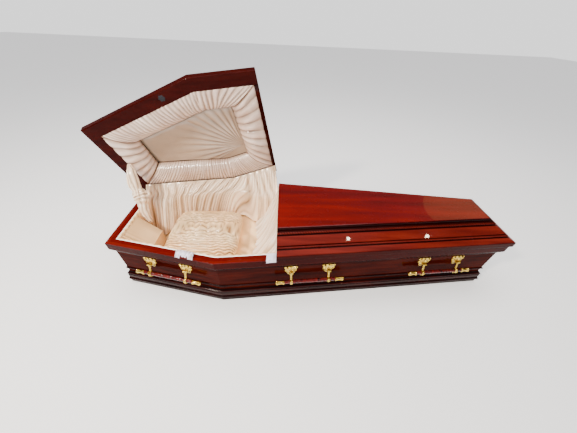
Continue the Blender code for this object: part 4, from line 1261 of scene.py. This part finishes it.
def bead(start, end, low, high, steps=6):
    """Profile points of one round bead between two places."""
    return [(start + (end - start) * t, low + (high - low) * math.sin(math.pi * t) ** 0.7)
            for t in np.linspace(0.0, 1.0, steps + 1)]


def leaf_mesh():
    """Cast leaf of the wall plate: scalloped edge, radial veins and two scrolls."""
    half = np.array(LUG_HALF_LEAF) * LUG_TOP
    loop = np.concatenate([half, (half[1:] * (-1, 1))[::-1]])
    middle = np.array((0.0, 0.20 * LUG_TOP))
    turn = np.arctan2(loop[:, 1] - middle[1], loop[:, 0])
    reach = np.hypot(loop[:, 0], loop[:, 1] - middle[1])
    order = np.argsort(turn)
    angles = np.linspace(-np.pi, np.pi, 132, endpoint=False)
    edge = np.interp(angles, turn[order], reach[order], period=2 * np.pi)
    edge = (edge + np.roll(edge, 1) + np.roll(edge, -1)) / 3
    edge = edge * (1 + 0.035 * np.cos(angles * 22))
    back = -PIVOT_OUT + GAP
    rows = []
    for s in [*np.linspace(0.02, 1, 20), 1.0]:
        x, z = edge * s * np.cos(angles), middle[1] + edge * s * np.sin(angles)
        veins = np.abs(np.cos(angles * 5.5 + np.pi / 2)) ** 0.6
        height = 0.0016 + 0.0058 * (1 - s ** 2.4) * (0.72 + 0.28 * veins)
        for side in (-1, 1):
            for place, size, rise in (((0.62, 0.66), 0.26, 0.0042), ((0.58, 0.14), 0.17, 0.0030)):
                away = np.hypot(x - side * place[0] * LUG_TOP, z - place[1] * LUG_TOP)
                radius = size * LUG_TOP
                height = height + rise * np.clip(1 - (away / radius) ** 2, 0, 1)
                height = height - 0.0016 * np.exp(-((away - radius) / 0.0011) ** 2)
        shell = np.hypot(x, z - 0.74 * LUG_TOP)
        height = height + 0.0036 * np.clip(1 - (shell / (0.2 * LUG_TOP)) ** 2, 0, 1)
        height = np.maximum(height, 0.0009)
        rows.append((x, back + height, z))
    x, height, z = rows[-1]
    rows[-1] = (x, np.full_like(x, back), z)
    return grid_mesh("leaf", [np.column_stack(row) for row in rows], close_columns=True, caps=True)


def lug_pieces():
    """Leaf, two ears with their stems, and the pin through the eye."""
    pieces = [leaf_mesh()]
    for side in (-1, 1):
        x = side * 0.00855
        pieces.append(turned([(-0.00175, 0.0056), (-0.0012, 0.0066), (0.0012, 0.0066),
                              (0.00175, 0.0056)], 28, (x, 0, 0)))
        stem = bmesh.new()
        bmesh.ops.create_cube(stem, size=1.0)
        bmesh.ops.scale(stem, vec=(0.0032, 0.014, 0.0104), verts=stem.verts)
        bmesh.ops.translate(stem, vec=(x, -0.007, 0), verts=stem.verts)
        made = bpy.data.meshes.new("stem")
        stem.to_mesh(made)
        stem.free()
        pieces.append(made)
        pieces.append(turned(bead(side * 0.0100, side * 0.0128, 0.0004, 0.0034), 20))
    return combined_mesh("lug", pieces)


def arm_pieces():
    """Beaded strap from the eye to the ring on the bar, with a small drop below it."""
    reach = math.hypot(BAR_OUT, BAR_DROP)
    stop = -(reach - 0.0115)
    profile = [(-0.002, 0.0048), *bead(-0.006, -0.013, 0.0046, 0.0066),
               *bead(-0.013, -0.019, 0.0044, 0.0058), *bead(-0.019, -0.029, 0.0042, 0.0064),
               *bead(-0.029, stop, 0.0046, 0.0062)]
    strap = turned(profile, 28, axis="Z", flatten=0.62)
    strap.transform(Matrix.Rotation(math.atan2(BAR_OUT, BAR_DROP), 4, "X"))
    eye = turned([(-0.0064, 0.0052), (-0.0058, 0.0064), (0.0058, 0.0064), (0.0064, 0.0052)], 28)
    band = [*bead(-0.0065, -0.0028, 0.0118, 0.0148), *bead(-0.0028, 0.0028, 0.0126, 0.0156),
            *bead(0.0028, 0.0065, 0.0118, 0.0148)]
    ring = turned(band, 40, BAR_PLACE)
    drop = turned([(0.0, 0.0050), *bead(-0.001, -0.006, 0.0040, 0.0056), (-0.0085, 0.0030),
                   (-0.0105, 0.0008)], 24, axis="Z", flatten=0.8)
    drop.transform(Matrix.Translation((0, BAR_OUT, -BAR_DROP - 0.0138)))
    return combined_mesh("arm", [strap, eye, ring, drop])


def bar_pieces():
    """Barley twist bar between its two tips."""
    half = BAR_HALF - TIP_LENGTH + 0.001
    places = np.linspace(-half, half, 200)

    def twist(place, angles):
        swell = 0.965 + 0.035 * math.cos(2 * math.pi * place / 0.0485)
        groove = 1 - np.abs(np.sin(angles + 2 * math.pi * place / 0.034)) ** 0.7
        return swell * (1 - 0.085 * groove)

    mesh = turned([(p, BAR_RADIUS) for p in places], 24, twist=twist)
    mesh.transform(Matrix.Translation(BAR_PLACE))
    face_outwards(mesh)
    return mesh


def tip_pieces():
    """Collared gold tips, waisted in the middle."""
    inner = BAR_HALF - TIP_LENGTH
    profile = [(inner, 0.0100), *bead(inner + 0.0005, inner + 0.0055, 0.0108, 0.0130),
               *bead(inner + 0.0055, inner + 0.0085, 0.0104, 0.0116),
               (inner + 0.014, 0.0100), (inner + 0.020, 0.0096), (inner + 0.027, 0.0104),
               *bead(inner + 0.030, inner + 0.0335, 0.0106, 0.0120),
               *bead(inner + 0.0335, inner + 0.0405, 0.0108, 0.0131),
               (BAR_HALF - 0.0025, 0.0090), (BAR_HALF - 0.0008, 0.0056), (BAR_HALF, 0.0010)]

    def fluted(place, angles):
        return 1 - 0.035 * (0.5 + 0.5 * np.cos(angles * 10))

    pieces = []
    for side in (-1, 1):
        mesh = turned([(side * p, r) for p, r in profile], 40, twist=fluted)
        mesh.transform(Matrix.Translation(BAR_PLACE))
        pieces.append(mesh)
    return combined_mesh("tips", pieces)


def handle_matrix(name):
    swing = joint(name)
    along = Vector(swing["axis"]).normalized()
    out = Vector((-along.y, along.x, 0))
    axes = Matrix((along, out, Vector((0, 0, 1)))).transposed().to_4x4()
    return Matrix.Translation(swing["pos_m"]) @ axes


def make_handles():
    """Six swing bar handles in cast gold plate with twisted bars."""
    lug, arm, bar, tips = lug_pieces(), arm_pieces(), bar_pieces(), tip_pieces()
    labels = [f"{side}_{place}" for side in ("near", "far") for place in ("head", "middle", "foot")]
    for label in labels:
        matrix = handle_matrix(f"handle_{label}_swing")
        body = f"handle_{label}"
        for mark, direction in (("a", -1), ("b", 1)):
            own = matrix @ Matrix.Translation((direction * ARM_HALF_SPACING, 0, 0))
            add_piece(f"{body}_plate_{mark}", lug.copy(), COFFIN, GOLD,
                      [f"{body}_lug_{mark}"], own, angle=50)
            add_piece(f"{body}_strap_{mark}", arm.copy(), body, GOLD,
                      [f"{body}_arm_{mark}"], own, angle=50)
        add_piece(f"{body}_twist_bar", bar.copy(), body, BAR,
                  [f"{body}_bar"], matrix, angle=60)
        add_piece(f"{body}_tips", tips.copy(), body, GOLD, (), matrix, angle=50)
    for name in ("hinge_leaf_body", "hinge_leaf_lid"):
        finish_node(name, GOLD)


# Studio

def make_camera():
    """Camera at the photograph's place: position, heading, tilt and roll, with a small shift."""
    yaw, pitch, roll = 0.0421, 0.7466, 0.0508
    place = (-0.1721, -0.9742, 1.1551)
    focal_pixels, wide = 229.07, 577
    shift_pixels = 0.63, 10.12
    forward = Vector((math.sin(yaw) * math.cos(pitch), math.cos(yaw) * math.cos(pitch),
                      -math.sin(pitch)))
    right = Vector((math.cos(yaw), -math.sin(yaw), 0.0))
    up = right.cross(forward)
    turned_right = right * math.cos(roll) + up * math.sin(roll)
    turned_up = up * math.cos(roll) - right * math.sin(roll)
    data = bpy.data.cameras.new("camera")
    data.sensor_width = 36.0
    data.lens = focal_pixels * data.sensor_width / wide
    data.shift_x, data.shift_y = (shift / wide for shift in shift_pixels)
    data.clip_start = 0.05
    camera = link_object("camera", data)
    axes = Matrix((turned_right, turned_up, -forward)).transposed().to_4x4()
    camera.matrix_world = Matrix.Translation(place) @ axes
    bpy.context.scene.camera = camera


# Name, place, target, size, power and colour of each lamp
WARM = (1.0, 0.85, 0.60)
LAMPS = [
    ("overhead", (-0.1, 0.7, 3.4), (0, 0, 0), (4.8, 1.6), 100, (1, 1, 1)),
    ("front", (-0.6, -3.2, 2.3), (-0.2, 0.1, 0.4), (1.6, 1.0), 46, (1.0, 0.93, 0.82)),
    ("key", (-1.9, -1.5, 2.5), (-0.6, 0.1, 0.45), (0.30, 0.30), 110, (1.0, 0.90, 0.78)),
    ("lamp_left", (0.97, -0.910, 2.218), (0.30, -0.21, 0.38), (0.045, 0.045), 2.0, WARM),
    ("lamp_right", (1.94, -0.738, 1.99), (0.75, -0.13, 0.37), (0.045, 0.045), 1.6, WARM),
    ("warm_card", (2.15, 1.35, 1.45), (0.75, 0.0, 0.42), (0.9, 0.6), 1.2, (1.0, 0.45, 0.15))]


def area_light(name, place, target, size, power, color):
    data = bpy.data.lights.new(name, "AREA")
    data.shape = "ELLIPSE"
    data.size, data.size_y = size
    data.energy = power
    data.color = color
    light = link_object(name, data)
    light.location = place
    light.rotation_euler = (Vector(target) - Vector(place)).to_track_quat("-Z", "Y").to_euler()


def make_world():
    """Sky that is bright overhead and at the horizon, and dark between."""
    world = bpy.data.worlds.new("studio")
    world.use_nodes = True
    tree = world.node_tree
    background = tree.nodes["Background"]
    coordinates = tree.nodes.new("ShaderNodeTexCoord")
    split = tree.nodes.new("ShaderNodeSeparateXYZ")
    tree.links.new(coordinates.outputs["Generated"], split.inputs["Vector"])
    sky = color_ramp(tree, split.outputs["Z"], [
        (0.0, (1.0, 1.0, 1.0)), (0.10, (1.0, 1.0, 1.0)), (0.20, (0.10, 0.09, 0.10)),
        (0.80, (0.14, 0.13, 0.14)), (0.94, (0.9, 0.9, 0.9))])
    tree.links.new(sky, background.inputs["Color"])
    background.inputs["Strength"].default_value = 1.5
    bpy.context.scene.world = world


def make_studio():
    """Pale floor, sky and the six lamps: two soft, a small key, two for glints, a warm card."""
    mesh = bpy.data.meshes.new("floor")
    reach = 14.0
    mesh.from_pydata([(-reach, -reach, 0), (reach, -reach, 0), (reach, reach, 0),
                      (-reach, reach, 0)], [], [(0, 1, 2, 3)])
    floor = link_object("floor", mesh)
    made, _, shader = new_material("floor_paint")
    set_inputs(shader, {"Base Color": (0.90, 0.90, 0.90, 1), "Emission Color": (1, 1, 1, 1),
                        "Emission Strength": 0.55, "Roughness": 0.9, "Specular IOR Level": 0.1})
    mesh.materials.append(made)
    floor.location.z = -0.0005
    make_world()
    for lamp in LAMPS:
        area_light(*lamp)


make_camera()
make_woods()
make_satins()
make_handles()
make_studio()
